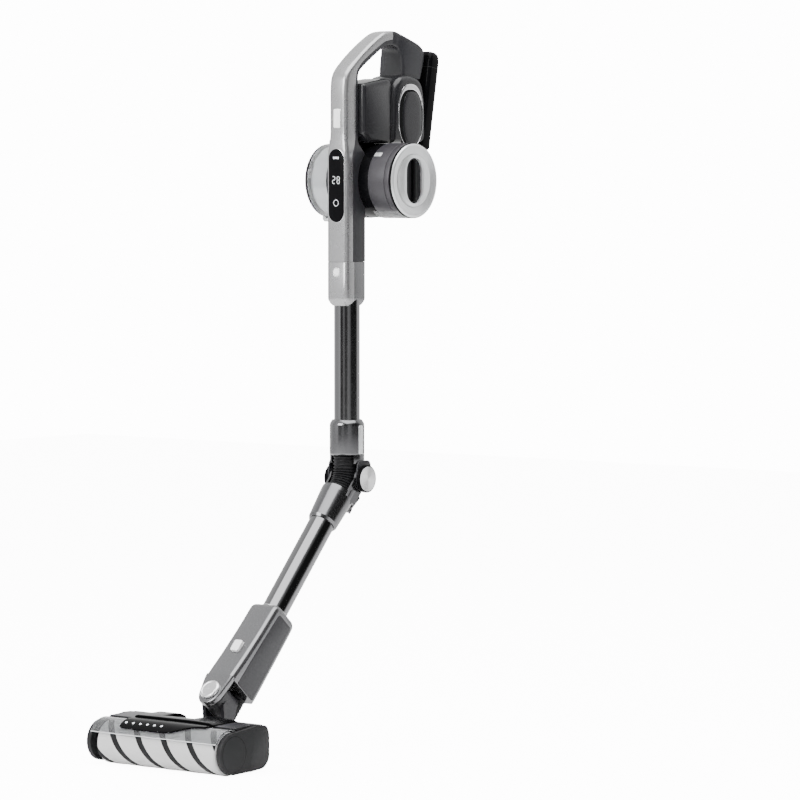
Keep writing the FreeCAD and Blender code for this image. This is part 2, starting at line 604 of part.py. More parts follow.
def upper_wand():
    collar = block("wand_collar", UPPER_TUBE, "-spine_w/2", "spine_w/2", "-spine_front", "spine_back",
                   "collar_base", "hand_base - pivot_z - 0.1")
    rounded(collar, "5", lambda e: along(V(0, 0, 1))(e) or e.BoundBox.ZMax < value("collar_base") + 1)
    bore(collar, "XY", "0", "0", "tube_r + 0.03", "collar_base - 1", "49")
    bore(collar, "XY", "0", "0", "15", "collar_base", "80")
    bore(collar, "XZ", "0", "round_z - pivot_z", "round_r + fit", "tube_r + 0.4", "20")
    button = new_body("wand_button", UPPER_TUBE)
    boss(button, "XZ", "0", "round_z - pivot_z", "round_r", "tube_r + press + 0.6",
         "spine_front + 0.8 - tube_r - press")
    ring_z("upper_tube", UPPER_TUBE, "elbow_top - 24", "collar_base + 47", "tube_r - tube_wall", "tube_r")
    shell = turned("elbow_upper_shell", UPPER_TUBE, "XZ", "V_Axis", [
        ("tube_r + 0.03", "elbow_top"), ("elbow_r - 4", "elbow_top"), ("elbow_r", "elbow_top - 9"),
        ("elbow_r", "10"), ("elbow_r - 3", "10"), ("elbow_r - 3", "elbow_top - 27"),
        ("tube_r + 0.03", "elbow_top - 27")])
    sketch = new_sketch(shell, "YZ")
    polygon(sketch, [("-elbow_r - 5", "0"), ("-elbow_r - 5", "38"), ("-16", "36"), ("-4", "26"),
                     ("4", "14"), ("4", "0")])
    pocket(shell, sketch, "80", middle=True)
    sketch = new_sketch(shell, "YZ")
    circle(sketch, "pivot_back", "0", "knob_r + 1.5")
    pocket(shell, sketch, "2*(ear_in + ear_t + fit)", middle=True)
    for side in (-1, 1):
        inner = side_start(side, "ear_in + ear_t + fit", "ear_t")
        boss(shell, "YZ", "pivot_back", "0", "knob_r - 1", inner, "ear_t")
        sketch = new_sketch(shell, "YZ", inner)
        box_outline(sketch, "-9", "pivot_back + 9", "0", "30")
        pad(shell, sketch, "ear_t")
    bore(shell, "YZ", "pivot_back", "0", "pin_r + 0.02", "-40", "80")
    block("side_rail", UPPER_TUBE, "elbow_r + 0.05", "elbow_r + 2.2", "-3", "5", "30.2", "68")
    knobs = new_body("pivot_knobs", UPPER_TUBE)
    discs = new_body("pivot_discs", UPPER_TUBE)
    face = "ear_in + 2*ear_t + fit + 0.05"
    for side in (-1, 1):
        boss(knobs, "YZ", "pivot_back", "0", "knob_r", side_start(side, face, "4.5"), "4.5")
        pin_len = "2*ear_t + fit"
        boss(knobs, "YZ", "pivot_back", "0", "pin_r", side_start(side, "ear_in + 0.3", pin_len), pin_len)
        boss(discs, "YZ", "pivot_back", "0", "knob_r - 2",
             side_start(side, face + " + 4.55", "1"), "1")
    turned("elbow_hose", UPPER_TUBE, "XZ", "V_Axis", [
        ("16.5", "58"), ("16.5", "4"), ("14", "-6"), ("15.6", "-7.5"), ("18.5", "4"), ("18.5", "58")])


def ring_z(label, place, z0, z1, r_in, r_out):
    """A plain ring about the Z axis."""
    return turned(label, place, "XZ", "V_Axis", [(r_in, z0), (r_out, z0), (r_out, z1), (r_in, z1)])


# ---- lower wand, measured the same way but along the bent part ------------------------------

def lower_wand():
    shell = turned("elbow_lower_shell", LOWER_TUBE, "XZ", "V_Axis", [
        ("lower_r_top", "-9"), ("lower_r_top", "-lower_top - 6"), ("lower_r_end", "-lower_end + 4"),
        ("lower_r_end - 2", "-lower_end"), ("tube_r + 0.03", "-lower_end"),
        ("tube_r + 0.03", "-lower_end + 28"), ("lower_r_top - 3", "-lower_end + 36"),
        ("lower_r_top - 3", "-9")])
    sketch = new_sketch(shell, "YZ")
    polygon(sketch, [("-lower_r_top - 5", "10"), ("-lower_r_top - 5", "-lower_top"),
                     ("-8", "-lower_top"), ("6", "-20"), ("14", "-8"), ("14", "10")])
    pocket(shell, sketch, "80", middle=True)
    for side in ("", "-"):
        cut_block(shell, side + "(ear_in + ear_t)", side + "40", "-40", "40", "-knob_r - 4", "20")
    for side in (-1, 1):
        inner = side_start(side, "ear_in", "ear_t")
        boss(shell, "YZ", "pivot_back", "0", "knob_r - 2", inner, "ear_t")
        sketch = new_sketch(shell, "YZ", inner)
        box_outline(sketch, "-8", "pivot_back + 10", "-lower_top - 8", "-4")
        pad(shell, sketch, "ear_t")
        sketch = new_sketch(shell, "YZ", side_start(side, "8.6", "2.4"))
        box_outline(sketch, "lower_r_top - 4", "lower_r_top + 6", "-lower_top - 13", "-lower_top - 5")
        pad(shell, sketch, "2.4")
    bore(shell, "YZ", "pivot_back", "0", "pin_r + 0.05", "-40", "80")
    bore(shell, "YZ", "lower_r_top + 3", "-lower_top - 9", "1.55", "-20", "40")
    lever = new_body("bend_lever", LOWER_TUBE)
    sketch = new_sketch(lever, "YZ")
    polygon(sketch, [("lower_r_top + 1", "-lower_top - 11"), ("lower_r_top + 4", "-lower_top + 4"),
                     ("lower_r_top + 8", "-12"), ("lower_r_top + 12", "-14"),
                     ("lower_r_top + 6", "-lower_top - 11")])
    pad(lever, sketch, "16", middle=True)
    boss(lever, "YZ", "lower_r_top + 3", "-lower_top - 9", "1.5", "-11", "22")
    ring_z("lower_tube", LOWER_TUBE, "-tube2_end - 16", "-lower_end + 27", "tube_r - tube_wall", "tube_r")
    shell = new_body("connector_shell", LOWER_TUBE)
    sketch = new_sketch(shell, "YZ")
    polygon(sketch, [
        ("-conn_front + 5", "-conn_top"), ("-conn_front", "-conn_top - 9"),
        ("-conn_flare", "-swivel_at + 20"), ("-conn_flare", "-swivel_at - 22"),
        ("-conn_flare + 10", "-swivel_at - 22"), ("-conn_flare + 10", "-conn_end"),
        ("conn_back", "-conn_end + 4"), ("conn_back", "-conn_top - 12"), ("conn_back - 6", "-conn_top")])
    pad(shell, sketch, "conn_w", middle=True)
    rounded(shell, "18", lambda e: along(V(0, 1, 0))(e) and e.BoundBox.ZMax < -value("swivel_at") - 1)
    rounded(shell, "9", lambda e: e.Length > 60 and e.BoundBox.XLength < 1)
    cut_block(shell, "-conn_w/2 + 3", "conn_w/2 - 3", "-conn_front + 3", "conn_back - 3",
              "-conn_end - 1", "-conn_top - 36")
    bore(shell, "XY", "0", "0", "tube_r + 0.03", "-conn_top - 37", "60")
    bore(shell, "XZ", "0", "-swivel_at", "swivel_r + 0.02", "conn_flare - 11", "12")
    cut_block(shell, "-7 - fit", "7 + fit", "-conn_flare - 2", "-conn_front + 4",
              "-conn_top - 92 - fit", "-conn_top - 74 + fit")
    button = block("connector_button", LOWER_TUBE, "-7", "7", "-conn_front - 10", "-conn_front - 2",
                   "-conn_top - 92", "-conn_top - 74")
    rounded(button, "3", along(V(0, 1, 0)))
    cap = new_body("swivel_cap", LOWER_TUBE)
    boss(cap, "XZ", "0", "-swivel_at", "15", "conn_flare + 0.05", "4")
    boss(cap, "XZ", "0", "-swivel_at", "swivel_r - 0.03", "0", "conn_flare + 1")


# ---- neck, measured from the swivel axis ------------------------------------------------------

def neck():
    yoke = new_body("neck_yoke", NECK)
    boss(yoke, "XZ", "0", "0", "hub_r", "-6", "conn_flare - 10 - fit + 6")
    for side in (-1, 1):
        inner = side_start(side, "arm_in", "arm_out - arm_in")
        sketch = new_sketch(yoke, "YZ", inner)
        polygon(sketch, [("-20", "2"), ("6", "2"), ("eye_y + eye_r", "-eye_z"),
                         ("eye_y - eye_r", "-eye_z"), ("-20", "-12")])
        pad(yoke, sketch, "arm_out - arm_in")
        boss(yoke, "YZ", "eye_y", "-eye_z", "eye_r", inner, "arm_out - arm_in")
    bore(yoke, "XZ", "0", "0", "swivel_r + 0.02", "-7", "conn_flare + 7")
    bore(yoke, "YZ", "eye_y", "-eye_z", "4.05", "-30", "60")
    ring_z("neck_hose", moved(NECK, 0, 19.2, 0), "-12", "22", "10", "12.5")


# ---- floor head; Y from the pitch axis, Z from the floor --------------------------------------

def head():
    inner = "head_half - end_t"
    base = new_body("head_base", HEAD)
    sketch = new_sketch(base, "YZ")
    polygon(sketch, [("-roller_y + roller_r + 2", "7"), ("-head_back - 4", "7"), ("-head_back", "16"),
                     ("-head_back", "50"), ("-roller_y + roller_r - 2", "50")])
    pad(base, sketch, "2*(head_half - end_t - 0.1)", middle=True)
    cut_block(base, "-head_half + end_t + 2", "head_half - end_t - 2", "-roller_y + roller_r + 7",
              "-head_back - wall", "10", "60")
    sketch = new_sketch(base, "YZ")
    circle(sketch, "-roller_y", "roller_r", "roller_r + 1.5")
    pocket(base, sketch, "2*head_half", middle=True)
    cut_block(base, "-head_half + end_t + 2", "-head_half + end_t + 12", "-roller_y",
              "-roller_y + roller_r + 8", "roller_r - pulley_r - 4", "roller_r + pulley_r + 4")
    for side in (-1, 1):
        # ears that carry the yoke, and brackets that carry the wheels
        for x_in, x_out, root, back, low, high in (
                (20.6, 26, 0, 9, "pitch_z - 12", "pitch_z + 9"), (30, 41, 1, 8, "6", "20")):
            sketch = new_sketch(base, "YZ", side_start(side, "%g" % x_in, "%g" % (x_out - x_in)))
            box_outline(sketch, "-head_back - %d" % root, str(back), low, high)
            pad(base, sketch, "%g" % (x_out - x_in))
    bore(base, "YZ", "0", "pitch_z", "4.02", "-40", "80")
    bore(base, "YZ", "2", "wheel_r", "3.02", "-60", "120")
    pins = new_body("pitch_pin", HEAD)
    boss(pins, "YZ", "0", "pitch_z", "4", "-26", "52")
    wheels = new_body("rear_wheels", HEAD)
    boss(wheels, "YZ", "2", "wheel_r", "3", "-wheel_x", "2*wheel_x")
    plates = new_body("end_caps", HEAD)
    for side in (-1, 1):
        boss(wheels, "YZ", "2", "wheel_r", "wheel_r", side_start(side, "wheel_x - 5", "10"), "10")
        start = side_start(side, inner, "end_t")
        sketch = new_sketch(plates, "YZ", start)
        polygon(sketch, [("-roller_y", "roller_r + 27"), ("-head_back - 6", "head_top - 1"),
                         ("-head_back", "head_top - 8"), ("-head_back", "24"),
                         ("-head_back - 8", "17"), ("-roller_y", "roller_r - 25")])
        pad(plates, sketch, "end_t")
        boss(plates, "YZ", "-roller_y", "roller_r + 1", "roller_r - 4.5", start, "end_t")
    cover = new_body("head_cover", HEAD)
    sketch = new_sketch(cover, "YZ")
    polygon(sketch, [("-roller_y + 13", "roller_r + roller_r + 2"), ("-roller_y + 13", "head_top - 1.5"),
                     ("-head_back - 8", "head_top"), ("-head_back", "head_top - 6"),
                     ("-head_back", "50.2"), ("-roller_y + 39", "50.2"), ("-roller_y + 28", "58")])
    pad(cover, sketch, "2*(head_half - end_t - 0.1)", middle=True)
    cut_block(cover, "-head_half + end_t + 2", "head_half - end_t - 2", "-roller_y + 42",
              "-head_back - wall", "48", "head_top - 3")
    sketch = new_sketch(cover, "YZ", "-hump_l")
    polygon(sketch, [("-roller_y - 5", "2*roller_r + 4"), ("-roller_y - 5", "head_top + 2"),
                     ("-roller_y + 8", "head_top + 4"), ("-head_back - 14", "head_top + 4"),
                     ("-head_back", "head_top - 2"), ("-head_back", "head_top - 4"),
                     ("-roller_y + 14", "head_top - 2.5"), ("-roller_y + 12", "2*roller_r + 4")])
    pad(cover, sketch, "hump_l + hump_r")
    cut_block(cover, "-28", "28", "-head_back - 30", "1", "head_top - 14", "head_top + 10")
    visor = ring_x("visor", ROLLER, "-head_half + end_t + 0.1", "head_half - end_t - 0.1",
                   "roller_r + gap", "roller_r + gap + 2")
    cut_block(visor, "-head_half", "head_half", "-80", "80", "-80", "16")
    cut_block(visor, "-head_half", "head_half", "12.5", "80", "0", "80")
    block("led_bezel", HEAD, "-hump_l", "25", "-roller_y - 9", "-roller_y - 5.1", "2*roller_r + 3.4",
          "head_top + 2")
    lenses = new_body("led_lenses", HEAD)
    for index in range(6):
        boss(lenses, "XZ", "-hump_l + 8 + %d*13" % index, "head_top - 0.4", "1.6", "roller_y + 9.05", "0.7")
    block("squeegee", HEAD, "-head_half + end_t + 6", "head_half - end_t - 6", "-head_back - 8",
          "-head_back - 6", "1.5", "6.95")
    ring_x("head_motor", moved(HEAD, 0, -value("motor_y"), value("roller_r")), "-70", "10", "9", "14")
    turned("head_rotor", moved(HEAD, 0, -value("motor_y"), value("roller_r")), "XZ", "H_Axis", [
        ("-head_half + end_t + 3", "0"), ("12", "0"), ("12", "2"), ("5", "2"), ("5", "8.5"),
        ("-65", "8.5"), ("-65", "2"), ("-head_half + end_t + 10", "2"),
        ("-head_half + end_t + 10", "pulley_r"), ("-head_half + end_t + 3", "pulley_r")])
    middle = moved(HEAD, 0, -value("roller_y + motor_y") / 2, value("roller_r"))
    belt = new_body("drive_belt", middle.multiply(
        FreeCAD.Placement(V(0, 0, 0), FreeCAD.Rotation(V(1, 0, 0), 90))))
    sketch = new_sketch(belt, "YZ", "-head_half + end_t + 3.5")
    for width in ("2*(pulley_r + belt_t)", "2*(pulley_r + 0.06)"):
        stadium(sketch, "0", "0", width, "roller_y - motor_y + " + width)
    pad(belt, sketch, "6")


def roller():
    turned("roller_core", ROLLER, "XZ", "H_Axis", [
        ("-head_half + end_t + 0.5", "0"), ("head_half - end_t - 0.5", "0"),
        ("head_half - end_t - 0.5", "4"), ("head_half - end_t - 12", "4"),
        ("head_half - end_t - 12", "core_r"), ("-head_half + end_t + 12", "core_r"),
        ("-head_half + end_t + 12", "4"), ("-head_half + end_t + 10", "4"),
        ("-head_half + end_t + 10", "pulley_r"), ("-head_half + end_t + 3", "pulley_r"),
        ("-head_half + end_t + 3", "4"), ("-head_half + end_t + 0.5", "4")])
    ring_x("roller_sleeve", ROLLER, "-head_half + end_t + 11.5", "head_half - end_t - 11.5",
           "core_r + 0.02", "roller_r")
    bearings = ring_x("roller_bearings", ROLLER, "head_half - end_t - 5", "head_half - end_t - 0.05",
                      "4.05", "9")
    sketch = new_sketch(bearings, "XZ")
    box_outline(sketch, "-head_half + end_t + 0.05", "-head_half + end_t + 2.6", "4.05", "9")
    turn(bearings, sketch, "H_Axis")


# ---- assembly -------------------------------------------------------------------------------

def build():
    spine_front_shell()
    spine_rear_shell()
    body_shell("body_shell_left", -1)
    body_shell("body_shell_right", 1)
    vent_panels()
    vent_trims()
    circuit_boards()
    display()
    power_button()
    suction_duct()
    drum()
    dust_cup()
    battery()
    upper_wand()
    lower_wand()
    neck()
    head()
    roller()


def write():
    for item in doc.Objects:
        if "Invalid" in item.State or "Error" in item.State:
            raise RuntimeError("%s failed: %s" % (item.Label, item.State))
    os.makedirs("parts", exist_ok=True)
    for body in pieces:
        shape = body.Shape
        if shape.isNull() or not shape.isValid() or not shape.Solids:
            raise RuntimeError("%s is not a sound solid" % body.Label)
        shape.exportStep("parts/%s.step" % body.Label)
        print(body.Label, len(shape.Solids), round(shape.Volume))


build()
doc.recompute()
write()
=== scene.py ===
import bmesh
import bpy
import json
import random
from math import acos, atan2, copysign, cos, pi, radians, sin, tan
from mathutils import Matrix, Vector


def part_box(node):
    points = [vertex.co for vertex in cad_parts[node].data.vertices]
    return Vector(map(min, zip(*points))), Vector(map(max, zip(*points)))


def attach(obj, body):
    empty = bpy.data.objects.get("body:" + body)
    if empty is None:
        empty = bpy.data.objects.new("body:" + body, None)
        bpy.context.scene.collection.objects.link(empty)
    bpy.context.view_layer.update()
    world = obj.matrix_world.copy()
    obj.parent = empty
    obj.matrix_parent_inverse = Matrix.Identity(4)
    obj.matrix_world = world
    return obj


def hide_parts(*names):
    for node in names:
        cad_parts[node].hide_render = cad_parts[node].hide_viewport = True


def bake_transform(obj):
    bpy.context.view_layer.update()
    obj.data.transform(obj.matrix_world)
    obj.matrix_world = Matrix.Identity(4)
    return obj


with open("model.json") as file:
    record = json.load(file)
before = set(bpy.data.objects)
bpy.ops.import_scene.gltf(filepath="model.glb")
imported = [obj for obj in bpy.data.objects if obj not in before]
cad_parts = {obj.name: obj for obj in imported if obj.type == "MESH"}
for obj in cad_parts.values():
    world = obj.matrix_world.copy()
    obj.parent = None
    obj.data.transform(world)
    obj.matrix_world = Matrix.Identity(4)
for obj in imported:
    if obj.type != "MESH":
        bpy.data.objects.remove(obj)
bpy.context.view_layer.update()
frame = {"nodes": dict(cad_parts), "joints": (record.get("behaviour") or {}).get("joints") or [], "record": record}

# Everything below is written in millimetres from the upper tube's axis and the floor,
# front towards -Y, and turned into metres by at().
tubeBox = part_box("upper_tube")
stickY = (tubeBox[0][1] + tubeBox[1][1]) * 500
joints = {joint["name"]: joint for joint in frame["joints"]}
pivot = Vector(joints["elbow_bend"]["pos_m"]) * 1000
swivel = Vector(joints["neck_swivel"]["pos_m"]) * 1000
pitch = Vector(joints["head_pitch"]["pos_m"]) * 1000
rollerAxis = Vector(joints["roller_spin"]["pos_m"]) * 1000
drumAxis = Vector(joints["impeller_spin"]["pos_m"]) * 1000
across = Vector(joints["neck_swivel"]["axis"])          # out of the back of the lower wand
lean = Vector(joints["battery_slide"]["axis"])          # up along the battery


def at(x, y, z):
    return Vector((x, y + stickY, z)) * 0.001


def basis(origin, axisX, axisY, axisZ):
    turn = Matrix((axisX, axisY, axisZ)).transposed().to_4x4()
    return Matrix.Translation(origin * 0.001) @ turn @ Matrix.Scale(0.001, 4)


right = Vector((1, 0, 0))
stickPlace = basis(Vector((0, stickY, 0)), right, Vector((0, 1, 0)), Vector((0, 0, 1)))
drumPlace = basis(drumAxis, right, Vector((0, 1, 0)), Vector((0, 0, 1)))
upperPlace = basis(Vector((0, stickY, pivot.z)), right, Vector((0, 1, 0)), Vector((0, 0, 1)))
upLow = right.cross(across)                              # up along the lower wand
lowerPlace = basis(pivot - across * (pivot.y - stickY), right, across, upLow)
neckPlace = basis(swivel, right, across, upLow)
headPlace = basis(Vector((0, pitch.y, 0)), right, Vector((0, 1, 0)), Vector((0, 0, 1)))
rollerPlace = basis(rollerAxis, right, Vector((0, 1, 0)), Vector((0, 0, 1)))

packPlace = basis(Vector((0, stickY + 149, 858)), right, right.cross(lean) * -1, lean)

camera = {"lens": 186.2, "turn": 39, "away": 6000, "height": 830, "aimRight": 77, "aimHeight": 494}


def placeCamera():
    turn = radians(camera["turn"])
    toEye = Vector((sin(turn), -cos(turn), 0))
    toRight = Vector((cos(turn), sin(turn), 0))
    data = bpy.data.cameras.new("photoCamera")
    data.lens = camera["lens"]
    data.sensor_width = 36
    data.clip_end = 60
    seat = bpy.data.objects.new("photoCamera", data)
    eye = toEye * camera["away"] + Vector((0, 0, camera["height"]))
    aim = toRight * camera["aimRight"] + Vector((0, 0, camera["aimHeight"]))
    seat.location = at(*eye)
    seat.rotation_euler = (at(*aim) - at(*eye)).to_track_quat("-Z", "Y").to_euler()
    bpy.context.scene.collection.objects.link(seat)
    bpy.context.scene.camera = seat


# Azimuths are degrees from the camera's side, brightness as the studio's panels reflect.
studio = {
    "panels": [(0.0, 1.3), (-112, 1.3), (-108, 0.9), (-64, 1.5), (-58, 0.10), (-40, 0.05), (-34, 0.5),
               (-22, 0.5), (-17, 0.08), (2, 0.10), (8, 0.62), (30, 0.42), (36, 0.03), (90, 0.04), (98,
               1.0), (112, 1.3)],
    "ceiling": 1.1, "backdrop": 14.0, "topPower": 105, "keyPower": 75, "floorColor": (0.97, 0.97, 0.972),
    "floorGlow": 11.5,
}


def lightStudio():
    world = bpy.data.worlds.new("studio")
    bpy.context.scene.world = world
    world.use_nodes = True
    nodes, links = world.node_tree.nodes, world.node_tree.links
    nodes.clear()
    out = nodes.new("ShaderNodeOutputWorld")
    coords = nodes.new("ShaderNodeTexCoord")
    parts = nodes.new("ShaderNodeSeparateXYZ")
    links.new(coords.outputs["Generated"], parts.inputs[0])
    angle = nodes.new("ShaderNodeMath")
    angle.operation = "ARCTAN2"
    links.new(parts.outputs["Y"], angle.inputs[0])
    links.new(parts.outputs["X"], angle.inputs[1])
    turned = nodes.new("ShaderNodeMath")
    turned.operation = "SUBTRACT"
    turned.inputs[1].default_value = radians(camera["turn"] - 90)
    links.new(angle.outputs[0], turned.inputs[0])
    wrapped = nodes.new("ShaderNodeMath")
    wrapped.operation = "WRAP"
    wrapped.inputs[1].default_value = pi
    wrapped.inputs[2].default_value = -pi
    links.new(turned.outputs[0], wrapped.inputs[0])
    share = nodes.new("ShaderNodeMapRange")
    share.inputs["From Min"].default_value = -pi
    share.inputs["From Max"].default_value = pi
    links.new(wrapped.outputs[0], share.inputs["Value"])
    ramp = nodes.new("ShaderNodeValToRGB")
    links.new(share.outputs[0], ramp.inputs[0])
    stops = ramp.color_ramp.elements
    for degrees, level in studio["panels"][1:]:
        stop = stops.new((degrees + 180) / 360)
        stop.color = (level, level, level, 1)
    for index in (0, len(stops) - 1):
        level = studio["panels"][0][1]
        stops[index].color = (level, level, level, 1)
    height = nodes.new("ShaderNodeMapRange")                # panels give way to the ceiling
    height.interpolation_type = "SMOOTHSTEP"
    height.inputs["From Min"].default_value = 0.55
    height.inputs["From Max"].default_value = 0.9
    links.new(parts.outputs["Z"], height.inputs["Value"])
    both = nodes.new("ShaderNodeMix")
    both.data_type = "RGBA"
    links.new(height.outputs[0], both.inputs["Factor"])
    links.new(ramp.outputs["Color"], both.inputs["A"])
    both.inputs["B"].default_value = (studio["ceiling"],) * 3 + (1,)
    shine = nodes.new("ShaderNodeBackground")
    links.new(both.outputs["Result"], shine.inputs["Color"])
    plain = nodes.new("ShaderNodeBackground")
    plain.inputs["Color"].default_value = (1, 1, 1, 1)
    plain.inputs["Strength"].default_value = studio["backdrop"]
    path = nodes.new("ShaderNodeLightPath")
    pick = nodes.new("ShaderNodeMixShader")
    links.new(path.outputs["Is Camera Ray"], pick.inputs[0])
    links.new(shine.outputs[0], pick.inputs[1])
    links.new(plain.outputs[0], pick.inputs[2])
    links.new(pick.outputs[0], out.inputs["Surface"])
    turn = radians(camera["turn"])
    for name, side, away, height, size, power in (
            ("topBox", 20, 400, 2600, 2.6, studio["topPower"]),
            ("keyBox", -50, 2400, 1700, 1.4, studio["keyPower"])):
        data = bpy.data.lights.new(name, "AREA")
        data.size, data.energy = size, power
        lamp = bpy.data.objects.new(name, data)
        swing = turn + radians(side)
        lamp.location = at(sin(swing) * away, -cos(swing) * away, height)
        lamp.rotation_euler = (at(0, -150, 450) - lamp.location).to_track_quat("-Z", "Y").to_euler()
        bpy.context.scene.collection.objects.link(lamp)


def placeFloor():
    data = bpy.data.meshes.new("floor")
    reach = 5
    data.from_pydata([(-reach, -reach, 0), (reach, -reach, 0), (reach, reach, 0), (-reach, reach, 0)],
                     [], [(0, 1, 2, 3)])
    floor = bpy.data.objects.new("floor", data)
    bpy.context.scene.collection.objects.link(floor)
    paint = bpy.data.materials.new("floorPaint")
    paint.use_nodes = True
    shader = paint.node_tree.nodes["Principled BSDF"]
    shader.inputs["Base Color"].default_value = studio["floorColor"] + (1,)
    shader.inputs["Roughness"].default_value = 0.7
    shader.inputs["Specular IOR Level"].default_value = 0.2
    nodes, links = paint.node_tree.nodes, paint.node_tree.links
    path = nodes.new("ShaderNodeLightPath")
    lift = nodes.new("ShaderNodeMath")                     # only the camera sees the floor this pale
    lift.operation = "MULTIPLY"
    lift.inputs[1].default_value = studio["floorGlow"]
    links.new(path.outputs["Is Camera Ray"], lift.inputs[0])
    glow = nodes.new("ShaderNodeEmission")
    links.new(lift.outputs[0], glow.inputs["Strength"])
    both = nodes.new("ShaderNodeAddShader")
    links.new(shader.outputs[0], both.inputs[0])
    links.new(glow.outputs[0], both.inputs[1])
    links.new(both.outputs[0], nodes["Material Output"].inputs["Surface"])
    data.materials.append(paint)


placeCamera()
lightStudio()
placeFloor()
print("stage ready")

def addGroup(name, inputs, outputs):
    group = bpy.data.node_groups.new(name, "ShaderNodeTree")
    for label, kind in inputs:
        group.interface.new_socket(label, in_out="INPUT", socket_type=kind)
    for label, kind in outputs:
        group.interface.new_socket(label, in_out="OUTPUT", socket_type=kind)
    return group, group.nodes, group.links


floatIn = "NodeSocketFloat"
colorIn = "NodeSocketColor"
vectorIn = "NodeSocketVector"


# Grain, slow colour drift and finger smudges for any skin.
def makeSkinGroup():
    group, nodes, links = addGroup(
        "skinDetail",
        (("Color", colorIn), ("Roughness", floatIn), ("Scale", floatIn), ("Tint", floatIn),
         ("Smudge", floatIn), ("Bump", floatIn), ("Stretch", vectorIn)),
        (("Color", colorIn), ("Roughness", floatIn), ("Normal", vectorIn)))
    source = nodes.new("NodeGroupInput")
    sink = nodes.new("NodeGroupOutput")
    coords = nodes.new("ShaderNodeTexCoord")
    stretch = nodes.new("ShaderNodeVectorMath")
    stretch.operation = "MULTIPLY"
    links.new(coords.outputs["Object"], stretch.inputs[0])
    links.new(source.outputs["Stretch"], stretch.inputs[1])
    grain = nodes.new("ShaderNodeTexNoise")
    grain.inputs["Detail"].default_value = 3
    links.new(stretch.outputs[0], grain.inputs["Vector"])
    links.new(source.outputs["Scale"], grain.inputs["Scale"])
    drift = nodes.new("ShaderNodeTexNoise")
    drift.inputs["Scale"].default_value = 34
    drift.inputs["Detail"].default_value = 5
    links.new(coords.outputs["Object"], drift.inputs["Vector"])
    shade = nodes.new("ShaderNodeMapRange")                # darker and lighter flecks
    links.new(grain.outputs["Fac"], shade.inputs["Value"])
    shade.inputs["From Min"].default_value = 0.3
    shade.inputs["From Max"].default_value = 0.7
    low = nodes.new("ShaderNodeMath")
    low.operation = "SUBTRACT"
    low.inputs[0].default_value = 1
    links.new(source.outputs["Tint"], low.inputs[1])
    links.new(low.outputs[0], shade.inputs["To Min"])
    high = nodes.new("ShaderNodeMath")
    high.operation = "ADD"
    high.inputs[0].default_value = 1
    links.new(source.outputs["Tint"], high.inputs[1])
    links.new(high.outputs[0], shade.inputs["To Max"])
    color = nodes.new("ShaderNodeVectorMath")
    color.operation = "SCALE"
    links.new(source.outputs["Color"], color.inputs[0])
    links.new(shade.outputs[0], color.inputs["Scale"])
    links.new(color.outputs[0], sink.inputs["Color"])
    rough = nodes.new("ShaderNodeMath")
    rough.operation = "MULTIPLY_ADD"
    rough.use_clamp = True
    centred = nodes.new("ShaderNodeMath")
    centred.operation = "SUBTRACT"
    centred.inputs[1].default_value = 0.5
    links.new(drift.outputs["Fac"], centred.inputs[0])
    links.new(centred.outputs[0], rough.inputs[0])
    links.new(source.outputs["Smudge"], rough.inputs[1])
    links.new(source.outputs["Roughness"], rough.inputs[2])
    links.new(rough.outputs[0], sink.inputs["Roughness"])
    bump = nodes.new("ShaderNodeBump")
    bump.inputs["Distance"].default_value = 0.0002
    links.new(grain.outputs["Fac"], bump.inputs["Height"])
    links.new(source.outputs["Bump"], bump.inputs["Strength"])
    links.new(bump.outputs[0], sink.inputs["Normal"])
    return group


skinGroup = makeSkinGroup()
plainStretch = (1, 1, 1)


def makeFinish(name, color, rough, metal=0.0, scale=1500, tint=0.04, smudge=0.1, bump=0.05,
               stretch=plainStretch, coat=0.0, coatRough=0.1, specular=0.5, sheen=0.0,
               anisotropy=0.0, spin=None, clear=0.0, ior=1.45, glow=0.0, alpha=1.0):
    finish = bpy.data.materials.new(name)
    finish.use_nodes = True
    nodes, links = finish.node_tree.nodes, finish.node_tree.links
    shader = nodes["Principled BSDF"]
    skin = nodes.new("ShaderNodeGroup")
    skin.node_tree = skinGroup
    skin.inputs["Color"].default_value = tuple(color) + (1,)
    for socket, number in (("Roughness", rough), ("Scale", scale), ("Tint", tint), ("Smudge", smudge),
                           ("Bump", bump), ("Stretch", stretch)):
        skin.inputs[socket].default_value = number
    links.new(skin.outputs["Color"], shader.inputs["Base Color"])
    links.new(skin.outputs["Roughness"], shader.inputs["Roughness"])
    links.new(skin.outputs["Normal"], shader.inputs["Normal"])
    for socket, number in (("Metallic", metal), ("Coat Weight", coat), ("Coat Roughness", coatRough),
                           ("Specular IOR Level", specular), ("Sheen Weight", sheen), ("IOR", ior),
                           ("Anisotropic", anisotropy), ("Transmission Weight", clear), ("Alpha", alpha)):
        shader.inputs[socket].default_value = number
    if spin:
        around = nodes.new("ShaderNodeTangent")
        around.direction_type = "RADIAL"
        around.axis = spin
        links.new(around.outputs[0], shader.inputs["Tangent"])
    if glow:
        shader.inputs["Emission Strength"].default_value = glow
        links.new(skin.outputs["Color"], shader.inputs["Emission Color"])
    return finish


